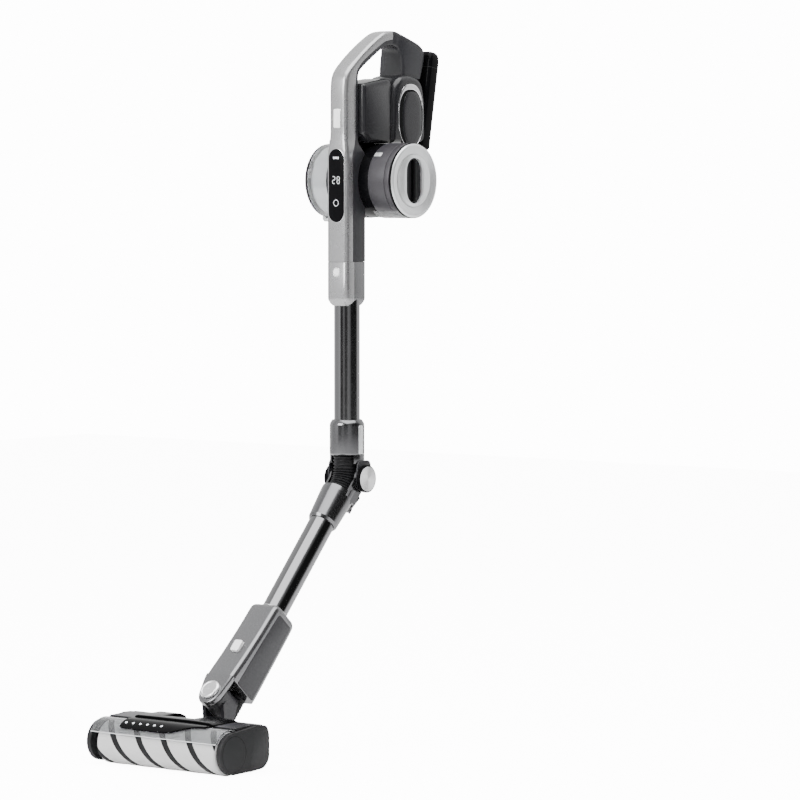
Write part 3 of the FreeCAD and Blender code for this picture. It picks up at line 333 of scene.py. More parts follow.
finishes = {
    "silver_paint": dict(color=(0.34, 0.34, 0.345), rough=0.27, metal=0.74, scale=2600, tint=0.05,
                         bump=0.004, coat=0.35, coatRough=0.22),
    "dark_shell": dict(color=(0.022, 0.022, 0.025), rough=0.34, specular=0.38, scale=2200, bump=0.02,
    coat=0.15),
    "gloss_body": dict(color=(0.014, 0.014, 0.016), rough=0.26, tint=0.03, specular=0.4, coat=0.25,
    coatRough=0.12,
                       bump=0.006),
    "drum_grey": dict(color=(0.042, 0.040, 0.045), rough=0.36, metal=0.25, scale=2200, bump=0.015),
    "ring_silver": dict(color=(0.74, 0.75, 0.76), rough=0.24, metal=0.55, coat=0.2, bump=0.006),
    "bright_trim": dict(color=(0.80, 0.80, 0.81), rough=0.14, metal=1.0, bump=0.02),
    "clear_plastic": dict(color=(0.86, 0.87, 0.88), rough=0.06, clear=0.92, ior=1.3, bump=0.01,
    smudge=0.05),
    "smoke_visor": dict(color=(0.62, 0.63, 0.64), rough=0.05, clear=0.92, ior=1.3, bump=0.01,
    smudge=0.04),
    "black_gloss": dict(color=(0.003, 0.003, 0.0035), rough=0.16, specular=0.06, coat=0.0,
    coatRough=0.08, bump=0.004),
    "black_matte": dict(color=(0.009, 0.009, 0.010), rough=0.45, specular=0.25, scale=2400, bump=0.12),
    "white_button": dict(color=(0.99, 0.99, 0.99), rough=0.32, bump=0.04),
    "tube_metal": dict(color=(0.20, 0.20, 0.205), rough=0.12, metal=1.0, scale=900, tint=0.05,
                       bump=0.006, smudge=0.06),
    "elbow_grey": dict(color=(0.15, 0.15, 0.155), rough=0.17, metal=0.95, scale=2600, bump=0.003,
    coat=0.2),
    "connector_grey": dict(color=(0.20, 0.20, 0.206), rough=0.22, metal=0.85, scale=2600, bump=0.003,
    coat=0.2),
    "spun_silver": dict(color=(0.90, 0.90, 0.91), rough=0.28, metal=1.0, scale=3000, anisotropy=0.85,
                        spin="X", bump=0.004),
    "rubber_black": dict(color=(0.005, 0.005, 0.006), rough=0.5, specular=0.22, scale=1800, bump=0.15),
    "board_green": dict(color=(0.02, 0.12, 0.05), rough=0.4, bump=0.2),
    "filter_white": dict(color=(0.72, 0.72, 0.70), rough=0.8, scale=3200, bump=0.5, sheen=0.3),
    "steel": dict(color=(0.50, 0.50, 0.52), rough=0.3, metal=1.0, scale=1200, stretch=(0.05, 1, 1)),
    "copper_wound": dict(color=(0.45, 0.20, 0.09), rough=0.35, metal=1.0, bump=0.2),
    "plush": dict(color=(0.56, 0.56, 0.56), rough=0.82, scale=3600, tint=0.22, bump=0.9, sheen=0.6),
    "led_white": dict(color=(0.9, 0.92, 0.95), rough=0.2, glow=0.25, bump=0.02),
    "cell_wrap": dict(color=(0.05, 0.16, 0.30), rough=0.3, bump=0.03),
}
paints = {slot: makeFinish(slot, **words) for slot, words in finishes.items()}
nodeSlot = {part["node"]: part["material_slot"] for part in frame["record"]["subparts"]}
for nodeName, nodeObject in frame["nodes"].items():
    nodeObject.data.materials.clear()
    nodeObject.data.materials.append(paints[nodeSlot[nodeName]])
print("finishes ready")


def linkPiece(name, data, slotName, body, nodes):
    piece = bpy.data.objects.new(name, data)
    bpy.context.scene.collection.objects.link(piece)
    data.materials.append(paints[slotName])
    if body:
        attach(piece, body)
    if nodes:
        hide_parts(*nodes)
    return piece


# A mesh drawn in a local frame in mm becomes a named piece, with rounded edges where asked.
def addPiece(name, shape, place, slotName, body, nodes=(), bevel=0.0, sharp=38):
    bmesh.ops.remove_doubles(shape, verts=shape.verts, dist=0.002)
    bmesh.ops.recalc_face_normals(shape, faces=shape.faces)
    data = bpy.data.meshes.new(name)
    shape.to_mesh(data)
    shape.free()
    data.transform(place)
    if bevel:
        draft = bpy.data.objects.new("draft", data)
        bpy.context.scene.collection.objects.link(draft)
        edge = draft.modifiers.new("edge", "BEVEL")
        edge.width, edge.segments, edge.limit_method = bevel * 0.001, 3, "ANGLE"
        edge.angle_limit, edge.harden_normals = radians(32), False
        bpy.context.view_layer.update()
        kept = bpy.data.meshes.new_from_object(draft.evaluated_get(bpy.context.evaluated_depsgraph_get()))
        bpy.data.objects.remove(draft)
        kept.name = name
        data = kept
    for face in data.polygons:
        face.use_smooth = True
    data.set_sharp_from_angle(angle=radians(sharp))
    return linkPiece(name, data, slotName, body, nodes)


# Rounds the corners of a closed outline; a corner may carry its own radius.
def soften(corners, radius, steps=5):
    points = []
    for index, corner in enumerate(corners):
        here = Vector(corner[:2])
        size = corner[2] if len(corner) > 2 else radius
        before = Vector(corners[index - 1][:2]) - here
        after = Vector(corners[(index + 1) % len(corners)][:2]) - here
        reach = max(0.01, min(size, before.length * 0.48, after.length * 0.48))
        start, stop = here + before.normalized() * reach, here + after.normalized() * reach
        for step in range(steps + 1):
            t = step / steps
            points.append(start * (1 - t) ** 2 + here * (2 * t * (1 - t)) + stop * t * t)
    return points


# Skins closed rings of equal length and caps the ends.
def joinRings(rings, loop=False, shape=None):
    shape = shape or bmesh.new()
    made = [[shape.verts.new(point) for point in ring] for ring in rings]
    count = len(rings[0])
    pairs = list(zip(made, made[1:])) + ([(made[-1], made[0])] if loop else [])
    for first, second in pairs:
        for index in range(count):
            nextOne = (index + 1) % count
            shape.faces.new((first[index], first[nextOne], second[nextOne], second[index]))
    if not loop:
        shape.faces.new(made[0][::-1])
        shape.faces.new(made[-1])
    return shape


# Turns a closed profile of (along, radius) about the local X or Z axis.
def lathe(profile, axis="X", steps=96, centre=(0, 0), shape=None, start=0.0, sweep=360.0):
    rings = []
    whole = sweep >= 359.9
    for step in range(steps if whole else steps + 1):
        angle = radians(start + sweep * step / steps)
        c, s = cos(angle), sin(angle)
        if axis == "X":
            rings.append([Vector((a, centre[0] + r * c, centre[1] + r * s)) for a, r in profile])
        else:
            rings.append([Vector((centre[0] + r * c, centre[1] + r * s, a)) for a, r in profile])
    return joinRings(rings, loop=whole, shape=shape)


# Extrudes a closed outline along the local X, Y or Z axis.
def slab(outline, low, high, axis="X", shape=None):
    order = {"X": lambda a, u, v: Vector((a, u, v)), "Y": lambda a, u, v: Vector((u, a, v)),
             "Z": lambda a, u, v: Vector((u, v, a))}[axis]
    return joinRings([[order(level, point[0], point[1]) for point in outline] for level in (low, high)],
                     shape=shape)


# Passes a smooth curve through rows of numbers.
def curveThrough(rows, steps=6):
    padded = [rows[0]] + list(rows) + [rows[-1]]
    out = []
    for a, b, c, d in zip(padded, padded[1:], padded[2:], padded[3:]):
        for step in range(steps):
            t = step / steps
            out.append([0.5 * (2 * q + (r - p) * t + (2 * p - 5 * q + 4 * r - s) * t * t
                               + (3 * q - p - 3 * r + s) * t ** 3) for p, q, r, s in zip(a, b, c, d)])
    out.append(list(rows[-1]))
    return out


# Cross sections between an outer line (y, z) and an inner line (y, z), with a half width.
def bandRings(rows, frontRound, backRound, steps=6, corner=5):
    rings = []
    for oy, oz, iy, iz, half in curveThrough(rows, steps):
        outer, inner = Vector((0, oy, oz)), Vector((0, iy, iz))
        depth = (inner - outer).length
        way = (inner - outer) / depth
        ring = soften([(-half, depth, backRound), (-half, 0, frontRound),
                       (half, 0, frontRound), (half, depth, backRound)], 1, corner)
        rings.append([outer + way * point[1] + Vector((point[0], 0, 0)) for point in ring])
    return rings


# A slot outline, round at both ends, standing along its second axis.
def stadiumOutline(width, length, count=14):
    radius, straight = width / 2, (length - width) / 2
    points = []
    for side in (1, -1):
        for step in range(count + 1):
            angle = pi * step / count
            points.append((side * radius * cos(angle), side * (straight + radius * sin(angle))))
    return points


def ovalOutline(width, length, power=2.0, count=72):
    points = []
    for step in range(count):
        angle = 2 * pi * step / count
        c, s = cos(angle), sin(angle)
        points.append((copysign(abs(c) ** (2 / power), c) * width / 2,
                       copysign(abs(s) ** (2 / power), s) * length / 2))
    return points


# The silver front of the handle and its dark back: outer y, z, inner y, z, half width.
spine = {
    "silver": [(-24, 695, -9, 695, 18.9), (-24, 730, -9, 730, 18.9), (-24, 800, -9, 800, 18.9),
               (-24, 846, -9, 846, 18.9), (-23.6, 860, -5.5, 858, 18.0), (-22.6, 872, -0.6, 869, 16.0),
               (-22, 884, 1.6, 884, 15.5), (-22, 915, 2, 915, 15.5), (-21.8, 945, 2, 945, 15.5),
               (-19, 962, 2.6, 958, 15.5), (-10, 975, 6, 972, 15.5), (10, 991, 18, 984, 15.5),
               (35, 1008.5, 40, 998, 15.5), (60, 1023, 64, 1011.5, 15.5), (74, 1028.5, 75, 1015.5, 15.5),
               (89, 1030.4, 88, 1017.5, 15.4)],
    "dark": [(-8.8, 695, 20.5, 695, 18.9), (-8.8, 730, 20.5, 730, 18.9), (-8.8, 800, 20.5, 800, 18.9),
             (-8.8, 846, 20.5, 846, 18.9), (-5.3, 858, 14, 858, 18.0), (-0.4, 869, 8.6, 868, 16.0),
             (1.8, 884, 8, 884, 15.5), (2.2, 915, 8, 915, 15.5), (2.2, 945, 8, 945, 15.5),
             (2.8, 957.8, 8, 960, 15.5), (6.2, 971.8, 10, 968, 15.5), (18.1, 983.8, 20, 977, 15.5),
             (40.1, 997.8, 42, 991, 15.5), (64.1, 1011.3, 66, 1005, 15.5), (75, 1015.3, 75.5, 1008, 15.5),
             (88, 1017.3, 87, 1009, 15.5)],
    "leg": [(89.4, 1030.3, 87.5, 1008.6, 15.5), (97, 1029.6, 93, 1007, 16.2), (107, 1026.5, 99, 1004, 17),
            (128, 1018.5, 101.6, 998, 19.5), (146, 1011, 102, 990, 21), (155.4, 1001.5, 102, 981, 22),
            (153.4, 986, 102, 972, 22.8), (146, 961, 102, 961, 23)],
}
addPiece("spineFront", joinRings(bandRings(spine["silver"], 6.5, 0.6)), stickPlace,
         "silver_paint", "hand", ["spine_front_shell"])
backShape = joinRings(bandRings(spine["dark"], 0.6, 3))
joinRings(bandRings(spine["leg"], 5, 5), shape=backShape)
addPiece("spineBack", backShape, stickPlace, "dark_shell", "hand", ["spine_rear_shell"])
print("handle ready")

# Display, buttons and the dark body behind the handle.
display = {"width": 28, "length": 106, "height": 805, "front": -24.9, "power": (12.4, 27, 902),
           "round": (6, 680), "barHeight": 845, "digitHeight": 813, "iconHeight": 780}


# A round bead that follows a closed outline.
def ringTube(outline, radius, level, axis="X", steps=8, shape=None):
    rings = []
    count = len(outline)
    for index, point in enumerate(outline):
        tangent = Vector(outline[(index + 1) % count]) - Vector(outline[index - 1])
        outward = Vector((tangent[1], -tangent[0])).normalized()
        ring = []
        for step in range(steps):
            angle = 2 * pi * step / steps
            u = point[0] + outward[0] * radius * cos(angle)
            v = point[1] + outward[1] * radius * cos(angle)
            w = level + radius * sin(angle)
            ring.append(Vector({"X": (w, u, v), "Y": (u, w, v), "Z": (u, v, w)}[axis]))
        rings.append(ring)
    return joinRings(rings, loop=True, shape=shape)


lensOutline = [(u, v + display["height"]) for u, v in stadiumOutline(display["width"], display["length"])]
addPiece("displayGlass", slab(lensOutline, display["front"], display["front"] + 1.4, "Y"), stickPlace,
         "black_gloss", "hand", ["display_lens"], bevel=0.6)
addPiece("displayRim", ringTube(lensOutline, 0.35, -24.0, "Y"), stickPlace, "bright_trim", "hand")


# A charge bar, two seven-segment digits and a plain mode ring, all generic.
def displayMarks():
    shape = bmesh.new()
    level = display["front"] - 0.06

    def bar(u, v, width, length):
        slab(soften([(u - width / 2, v - length / 2), (u + width / 2, v - length / 2),
                     (u + width / 2, v + length / 2), (u - width / 2, v + length / 2)], 0.3, 2),
             level, level + 0.12, "Y", shape)
    for index in range(4):
        bar(-4.2 + 2.8 * index, display["barHeight"], 2.0, 3.2)
    lit = ((1, 1, 0, 1, 1, 0, 1), (1, 1, 1, 1, 1, 1, 1))
    for digit, segments in enumerate(lit):
        mid = -4.2 + 8.4 * digit
        spots = ((0, 5, 3.6, 0.8), (2.2, 2.5, 0.8, 3.9), (2.2, -2.5, 0.8, 3.9), (0, -5, 3.6, 0.8),
                 (-2.2, -2.5, 0.8, 3.9), (-2.2, 2.5, 0.8, 3.9), (0, 0, 3.6, 0.8))
        for on, (u, v, width, length) in zip(segments, spots):
            if on:
                bar(mid + u, display["digitHeight"] + v, width, length)
    ring = [(4.4 * cos(a * pi / 18), display["iconHeight"] + 4.4 * sin(a * pi / 18))
            for a in range(36)]
    ringTube(ring, 0.4, level, "Y", 6, shape)
    return shape


addPiece("displayMarks", displayMarks(), stickPlace, "led_white", "hand")
width, length, height = display["power"]
powerOutline = soften([(-width / 2, height - length / 2), (width / 2, height - length / 2),
                       (width / 2, height + length / 2), (-width / 2, height + length / 2)], 2.4, 5)
addPiece("powerKey", slab(powerOutline, -23.3, -20, "Y"), stickPlace, "white_button", "power_key",
         ["power_button"], bevel=0.8)
addPiece("powerRim", ringTube(powerOutline, 0.4, -22.2, "Y"), stickPlace, "bright_trim", "hand")

housing = {"half": 27.4, "frontHalf": 25.0, "frontMiddle": (42, 912), "backMiddle": (111, 912)}


# Copies of an outline along X, each drawn in towards its middle.
def insetRings(outline, middle, levels):
    rings = []
    for x, inset in levels:
        ring = []
        for point in outline:
            shift = point - middle
            ring.append(Vector((x, *(middle + shift * (1 - inset / shift.length)))))
        rings.append(ring)
    return rings


# The dark body: flat sides, a soft front shoulder and an arched top.
def housingShape():
    profile = soften([(8.6, 880, 2), (24, 866, 3), (74, 866, 3), (74, 962, 12), (30, 956, 20),
                      (8.6, 952, 3)], 4, 7)
    shape, half = bmesh.new(), housing["frontHalf"]
    levels = ((-half, 6.0), (-half + 0.9, 3.0), (-half + 2.8, 1.0), (-half + 6, 0), (half - 6, 0),
              (half - 2.8, 1.0), (half - 0.9, 3.0), (half, 6.0))
    joinRings(insetRings(profile, Vector(housing["frontMiddle"]), levels), shape=shape)
    tower = soften([(70, 866, 3), (150, 866, 4), (150, 930, 34), (140, 962, 24), (112, 968, 20),
                    (82, 962, 24), (72, 936, 30)], 10, 7)
    half = housing["half"] + 2.2
    levels = ((-half, 9), (-half + 0.6, 6.0), (-half + 2.4, 3.0), (-half + 5.5, 1.0), (-half + 10, 0),
              (half - 10, 0), (half - 5.5, 1.0), (half - 2.4, 3.0), (half - 0.6, 6.0), (half, 9))
    return joinRings(insetRings(tower, Vector(housing["backMiddle"]), levels), shape=shape)


addPiece("bodyHousing", housingShape(), stickPlace, "gloss_body", "hand",
         ["body_shell_left", "body_shell_right", "circuit_boards"], sharp=50)
print("body ready")

# Oval panels with their rims and slots, and the motor drum.
panel = {"y": 112, "z": 907, "width": 58, "length": 92, "outer": 29.9, "rim": 1.0, "crescent": 6.5,
         "shiftBack": 3.4, "shiftDown": 4.5}


# A bright rim that swells into a crescent at its top and thins out behind.
def sweepRim(edge, side, shape):
    rings = []
    for index, point in enumerate(edge):
        tangent = Vector(edge[(index + 1) % len(edge)]) - Vector(edge[index - 1])
        outward = Vector((tangent[1], -tangent[0])).normalized()
        swell = max(0.0, (point[1] - panel["z"] - 14) / 32)
        reach = panel["rim"] * 0.7 + panel["crescent"] * 0.5 * swell ** 1.3
        ring = []
        for step in range(10):
            angle = 2 * pi * step / 10
            inward = reach * (cos(angle) - 1)
            ring.append(Vector((side * (panel["outer"] - 0.1 + 0.75 * sin(angle)),
                                point[0] + outward[0] * inward, point[1] + outward[1] * inward)))
        rings.append(ring)
    joinRings(rings, loop=True, shape=shape)


panelShape, rimShape, slotShape = bmesh.new(), bmesh.new(), bmesh.new()
for side in (-1, 1):
    edge = [(panel["y"] + u, panel["z"] + v)
            for u, v in ovalOutline(panel["width"], panel["length"], 2.5, 96)]
    sweepRim(edge, side, rimShape)
    slab(edge, side * 26, side * (panel["outer"] - 0.25), "X", slotShape)
    rings = []
    for level, shrink in ((-3, 6), (-0.6, 6), (0.1, 6.4), (0.45, 7.4), (0.75, 11), (0.95, 17)):
        rings.append([Vector((side * (panel["outer"] + level), panel["y"] + panel["shiftBack"] + u,
                              panel["z"] - panel["shiftDown"] + v)) for u, v in
                      ovalOutline(panel["width"] - 2 * shrink, panel["length"] - 2 * shrink, 2.5, 96)])
    joinRings(rings, shape=panelShape)
addPiece("ovalPanels", panelShape, stickPlace, "gloss_body", "hand", ["vent_panels"])
addPiece("ovalRims", rimShape, stickPlace, "bright_trim", "hand", ["vent_trims"])
addPiece("ventSlots", slotShape, stickPlace, "black_gloss", "hand")

drum = {"radius": 54.4, "steps": 144}
drumShape = lathe(soften([(37, 52.2, 0.3), (37, drum["radius"], 1.0), (66.6, drum["radius"], 0.8),
         (66.6, 53.4, 0.2), (67.6, 53.4, 0.2),
                          (67.6, drum["radius"], 0.6), (75.6, drum["radius"], 1.0), (75.6, 52.2, 0.3)],
                          0.5, 4), steps=drum["steps"])
addPiece("drumBarrel", drumShape, drumPlace, "drum_grey", "hand", ["drum_shell"])
addPiece("drumNeck", lathe(soften([(2, 51.5, 0.3), (2, 53.6, 0.8), (36.6, 53.6, 0.4), (36.6, 51.5,
         0.3)], 0.4, 4),
                           steps=drum["steps"]), drumPlace, "black_gloss", "hand")
tab = slab(soften([(-15, -5), (-15, 5), (15, 5), (15, -5)], 2, 4), 0, 1.0, "Z")
tabPlace = drumPlace @ Matrix.Rotation(radians(46), 4, "X") @ Matrix.Translation((45, 0, 54.0)) \
    @ Matrix.Scale(0.42, 4, (1, 0, 0)) @ Matrix.Scale(0.7, 4, (0, 1, 0))
addPiece("drumTab", tab, tabPlace, "ring_silver", "hand", bevel=0.3)

capShape = lathe(soften([(76.3, 38, 0.5), (76.3, 52.6, 0.6), (79.0, 54.2, 1.5), (82, 51.0, 3.0), (80.6,
         44, 5),
                         (79.2, 38, 2)], 1, 7), steps=drum["steps"])
addPiece("filterCapRing", capShape, drumPlace, "ring_silver", "cap", ["filter_cap"])
addPiece("filterCapRim", lathe(soften([(76.2, 52.8), (76.2, 54.45), (79.4, 54.45), (79.4, 53.6)], 0.4, 3),
                               steps=drum["steps"]), drumPlace, "black_gloss", "cap")


# The sunken face of the cap with its long finger slot.
def capFace():
    shape = bmesh.new()
    outer = [(38.2 * cos(a * pi / 30), 38.2 * sin(a * pi / 30)) for a in range(60)]
    slot = stadiumOutline(36, 66, 29)
    order = sorted(range(len(slot)), key=lambda i: atan2(slot[i][1], slot[i][0]) % (2 * pi))
    slot = [slot[i] for i in order]
    rings = []
    for level, mix in ((79.6, 1.0), (79.9, 0.72), (80.9, 0.4), (81.5, 0.14), (81.2, 0.03), (80.6, 0.0),
             (76.6, 0.0)):
        ring = []
        for a, b in zip(outer, slot):
            u = a[0] * mix + b[0] * (1 - mix)
            v = a[1] * mix + b[1] * (1 - mix)
            ring.append(Vector((level, u, v)))
        rings.append(ring)
    count = len(rings[0])
    made = [[shape.verts.new(p) for p in ring] for ring in rings]
    for first, second in zip(made, made[1:]):
        for i in range(count):
            j = (i + 1) % count
            shape.faces.new((first[i], first[j], second[j], second[i]))
    return shape


addPiece("filterCapFace", capFace(), drumPlace, "ring_silver", "cap")
slotBed = slab(stadiumOutline(37, 67, 29), 76.3, 77.2, "X")
addPiece("filterCapBed", slotBed, drumPlace, "black_matte", "cap")
grip = bmesh.new()
slab(soften([(-3.4, -30, 2), (3.4, -30, 2), (3.4, 30, 2), (-3.4, 30, 2)], 2, 5), 77.2, 81.2, "X", grip)
addPiece("filterCapGrip", grip, drumPlace, "black_gloss", "cap", ["cap_grip"], bevel=1.0)
print("drum ready")

# The dust cup side: a clear bowl, its carrier, the cyclone and a hinged door.
cupWall = lathe(soften([(-75.6, 51.6, 0.3), (-75.6, drum["radius"], 0.8), (-27.6, drum["radius"], 0.8),
         (-27.6, 51.6, 0.3)], 0.3, 3),
                steps=drum["steps"])
addPiece("cupWall", cupWall, drumPlace, "clear_plastic", "cup", ["dust_cup"])
addPiece("cupBand", lathe(soften([(-40, 54.42), (-40, 54.5), (-27.4, 54.5), (-27.4, 54.42)], 0.05, 2),
         steps=drum["steps"]),
         drumPlace, "black_gloss", "cup")
cupHinge = slab(soften([(-77.5, -53.8), (-77.5, -60.3), (-68, -60.3), (-66, -54)], 1.6, 4), -3.9, 3.9,
         "Y")
addPiece("cupHinge", cupHinge, drumPlace, "ring_silver", "cup", bevel=0.4)
doorShape = lathe(soften([(-80.4, 31, 0.4), (-80.4, 46, 0.6), (-82, 49.6, 1.2), (-82, 52.2, 1.2),
         (-80.2, 53.8, 1.2),
                          (-76.4, 53.8, 0.4), (-76.4, 49, 0.3), (-78.6, 46, 0.5), (-78.6, 31, 0.4)],
                          0.5, 5),
                  steps=drum["steps"])
addPiece("doorRing", doorShape, drumPlace, "black_matte", "cup_lid", ["cup_door"])
window = lathe(soften([(-81.2, 0.4), (-81.2, 46.2), (-79.6, 46.2), (-79.6, 0.4)], 0.3, 3), steps=120)
addPiece("doorWindow", window, drumPlace, "clear_plastic", "cup_lid")
knuckles = bmesh.new()
for start in (-12, 4.3):
    slab(soften([(-81.6, -45), (-81.6, -57), (-78, -60.2), (-71, -60.2), (-71, -55.9), (-76.4, -55),
             (-76.4, -45)],
                1.2, 4), start, start + 7.7, "Y", knuckles)
addPiece("doorKnuckles", knuckles, drumPlace, "ring_silver", "cup_lid", bevel=0.3)
hub = lathe(soften([(-77.2, 0.4), (-77.2, 15), (-75.6, 18.4), (-62, 21), (-62, 0.4)], 1.4, 5), steps=96)
addPiece("cycloneHub", hub, drumPlace, "dark_shell", "cup")
addPiece("cycloneHubRing", lathe(soften([(-77.3, 18.2), (-77.3, 20.6), (-74.6, 21.4), (-74.6, 19)], 0.6,
         4), steps=96),
         drumPlace, "ring_silver", "cup")
whiteRing = lathe(soften([(-74, 24, 1), (-75, 36, 3), (-74, 46.5, 1), (-70, 48.5, 1), (-30, 49.6, 1),
         (-30, 47, 1),
                          (-68, 45.4, 1), (-70, 36, 3), (-68, 24, 1)], 1, 5), steps=120)
addPiece("cupLining", whiteRing, drumPlace, "ring_silver", "cup", ["cyclone"])
addPiece("doorSeal", lathe(soften([(-78.3, 45), (-78.3, 48.6), (-76.6, 48.6), (-76.6, 45)], 0.6, 3),
         steps=96),
         drumPlace, "rubber_black", "cup_lid", ["door_seal"])
carrier = lathe(soften([(-27.2, 16), (-27.2, drum["radius"]), (1.6, drum["radius"]), (1.6, 16)], 1.0,
         4), steps=drum["steps"])
addPiece("cupCarrier", carrier, drumPlace, "dark_shell", "hand", ["cup_carrier", "pre_filter"])
print("cup ready")

# The battery pack, drawn along its own lean.
packSize = {"width": 59.6, "depth": 26.6, "length": 146}
packU, packV = packSize["width"] / 2, packSize["depth"] / 2
packOutline = soften([(-packU, -packV, 6), (packU, -packV, 6), (packU, packV, 11), (-packU, packV, 11)],
         6, 7)


def packShape():
    rings = []
    length = packSize["length"]
    for level, inset in ((0.6, 2.2), (1.4, 0.8), (4, 0), (length - 15, 0), (length - 8, 0.9),
             (length - 4, 2.6),
                         (length - 1.4, 5.6), (length - 0.3, 10)):
        rings.append([Vector((u * (1 - inset / 31), v * (1 - inset / 15), level)) for u,
                 v in packOutline])
    return joinRings(rings)


addPiece("packCase", packShape(), packPlace, "black_gloss", "battery", ["battery_case"])
seam = [(u * 1.003, v * 1.006) for u, v in packOutline]
addPiece("packSeam", ringTube(seam, 0.3, 121, "Z", 6), packPlace, "black_matte", "battery")
print("pack ready")

# The wand: silver collar, elbow shells, bellows, and the flared connector.
collar = {"low": 631, "high": 695, "half": 18.9, "front": -24, "seam": -6, "back": 20.5}


def collarRings(front, back, frontRound, backRound):
    rings = []
    for z, inset in ((collar["low"] + 0.4, 5.2), (collar["low"] + 3.5, 2.6), (collar["low"] + 9, 0.2),
                     (collar["low"] + 12, 0), (collar["high"] - 1, 0), (collar["high"] - 0.2, 0.5)):
        half = collar["half"] - inset
        frontNow, backNow = front + inset, back - inset * 0.8
        if front != collar["front"]:
            frontNow = front
        if back != collar["back"]:
            backNow = back
        ring = soften([(-half, backNow, backRound), (-half, frontNow, frontRound),
                       (half, frontNow, frontRound), (half, backNow, backRound)], 1, 5)
        rings.append([Vector((point[0], point[1], z)) for point in ring])
    return rings


addPiece("collarFront", joinRings(collarRings(collar["front"], collar["seam"], 6.5, 0.4)), stickPlace,
         "silver_paint", "hand", ["wand_collar"])
addPiece("collarBack", joinRings(collarRings(collar["seam"] + 0.2, collar["back"], 0.4, 4)), stickPlace,
         "connector_grey", "hand")
disc = lathe(soften([(0, 0.2), (0, 5.2), (1.2, 5.9), (4, 5.9), (4, 0.2)], 0.6, 4), "Z", 48)
discPlace = stickPlace @ Matrix.Translation((0, -24.9,
         display["round"][1])) @ Matrix.Rotation(-pi / 2, 4, "X")
addPiece("roundKey", disc, discPlace, "white_button", "wand_key", ["wand_button"])
well = lathe(soften([(0.5, 6.0), (0.5, 7.0), (1.6, 7.0), (1.6, 6.0)], 0.3, 3), "Z", 48)
addPiece("roundKeyRim", well, discPlace, "bright_trim", "hand")

upperSleeve = lathe(soften([(34, 22.6, 0.3), (36, 25.4, 2), (80, 25.4, 3), (86, 21.6, 2), (86, 19.0, 0.4),
                         (80, 19.0, 0.3), (44, 22.6, 0.3)], 1, 5), "Z", 96)
addPiece("elbowUpper", upperSleeve, upperPlace, "elbow_grey", "hand", ["elbow_upper_shell"])
backRows = ((13.4, 22.6), (13.4, 25.4), (35.4, 25.4), (35.4, 22.6))
apron = lathe(soften([(a, r, 0.6) for a, r in backRows], 0.6, 4), "Z", 72, start=25, sweep=130)
sideRows = ((22.5, 22.6), (22.5, 25.4), (35.4, 25.4), (35.4, 22.6))
lathe(soften([(a, r, 0.6) for a, r in sideRows], 0.6, 4), "Z", 72, start=-28, sweep=236, shape=apron)
addPiece("elbowApron", apron, upperPlace, "elbow_grey", "hand")
ears = bmesh.new()
for side in (-1, 1):
    slab(soften([(-8, 27, 7), (-12, 2, 12), (-8, -14, 12), (7, -19.5, 14), (22, -14, 12), (26.4, 0, 14),
                 (23, 14, 8), (19, 27, 7)], 8, 6), side * 24.95, side * 27.8, "X", ears)
addPiece("elbowEars", ears, upperPlace, "dark_shell", "hand", bevel=0.8)
strip = slab(soften([(-4.4, 36, 1.5), (4.4, 36, 1.5), (4.4, 78, 3), (-4.4, 78, 3)], 1.5, 4), 24.6, 26.6,
         "X")
addPiece("elbowStrip", strip, upperPlace, "ring_silver", "hand", ["side_rail"], bevel=0.9)


# A ribbed hose along a path of points in world millimetres, in the local frame's own order.
def bellows(path, low, high, pitchStep, steps=56):
    shape = bmesh.new()
    rings, run = [], 0.0
    for index, point in enumerate(path):
        before, after = path[max(0, index - 1)], path[min(len(path) - 1, index + 1)]
        run += (point - path[max(0, index - 1)]).length
        along = (after - before).normalized()
        up = right.cross(along).normalized()
        radius = low + (high - low) * (0.5 + 0.5 * cos(2 * pi * run / pitchStep)) ** 0.7
        rings.append([point + right * radius * cos(2 * pi * i / steps)
                      + up * radius * sin(2 * pi * i / steps) for i in range(steps)])
    return joinRings(rings, shape=shape)


# Two straight runs joined by a smooth bend about their corner.
def bentPath(start, corner, stop, straight, step=0.65):
    first, second = (start - corner).normalized(), (stop - corner).normalized()
    bendStart, bendStop = corner + first * straight, corner + second * straight
    points = []
    count = max(2, int((start - bendStart).length / step))
    points += [start.lerp(bendStart, i / count) for i in range(count)]
    count = int(2 * straight / step)
    for i in range(count):
        t = i / count
        points.append(bendStart * (1 - t) ** 2 + corner * (2 * t * (1 - t)) + bendStop * t * t)
    count = max(2, int((stop - bendStop).length / step))
    points += [bendStop.lerp(stop, i / count) for i in range(count + 1)]
    return points


worldScale = Matrix.Scale(0.001, 4)
bendAngle = acos(upLow.z)
crossing = Vector((0, stickY, pivot.z - (pivot.y - stickY) * tan(bendAngle / 2)))
hose = {"low": 18.4, "high": 20.3, "pitch": 5.4, "reach": 40, "straight": 20}
hosePath = bentPath(crossing + Vector((0, 0, hose["reach"])), crossing, crossing - upLow * hose["reach"],
                    hose["straight"])
hosePiece = addPiece("elbowBellows", bellows(hosePath, hose["low"], hose["high"], hose["pitch"]),
         worldScale,
                     "rubber_black", None, ["elbow_hose"], sharp=70)
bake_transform(hosePiece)
print("wand top ready")

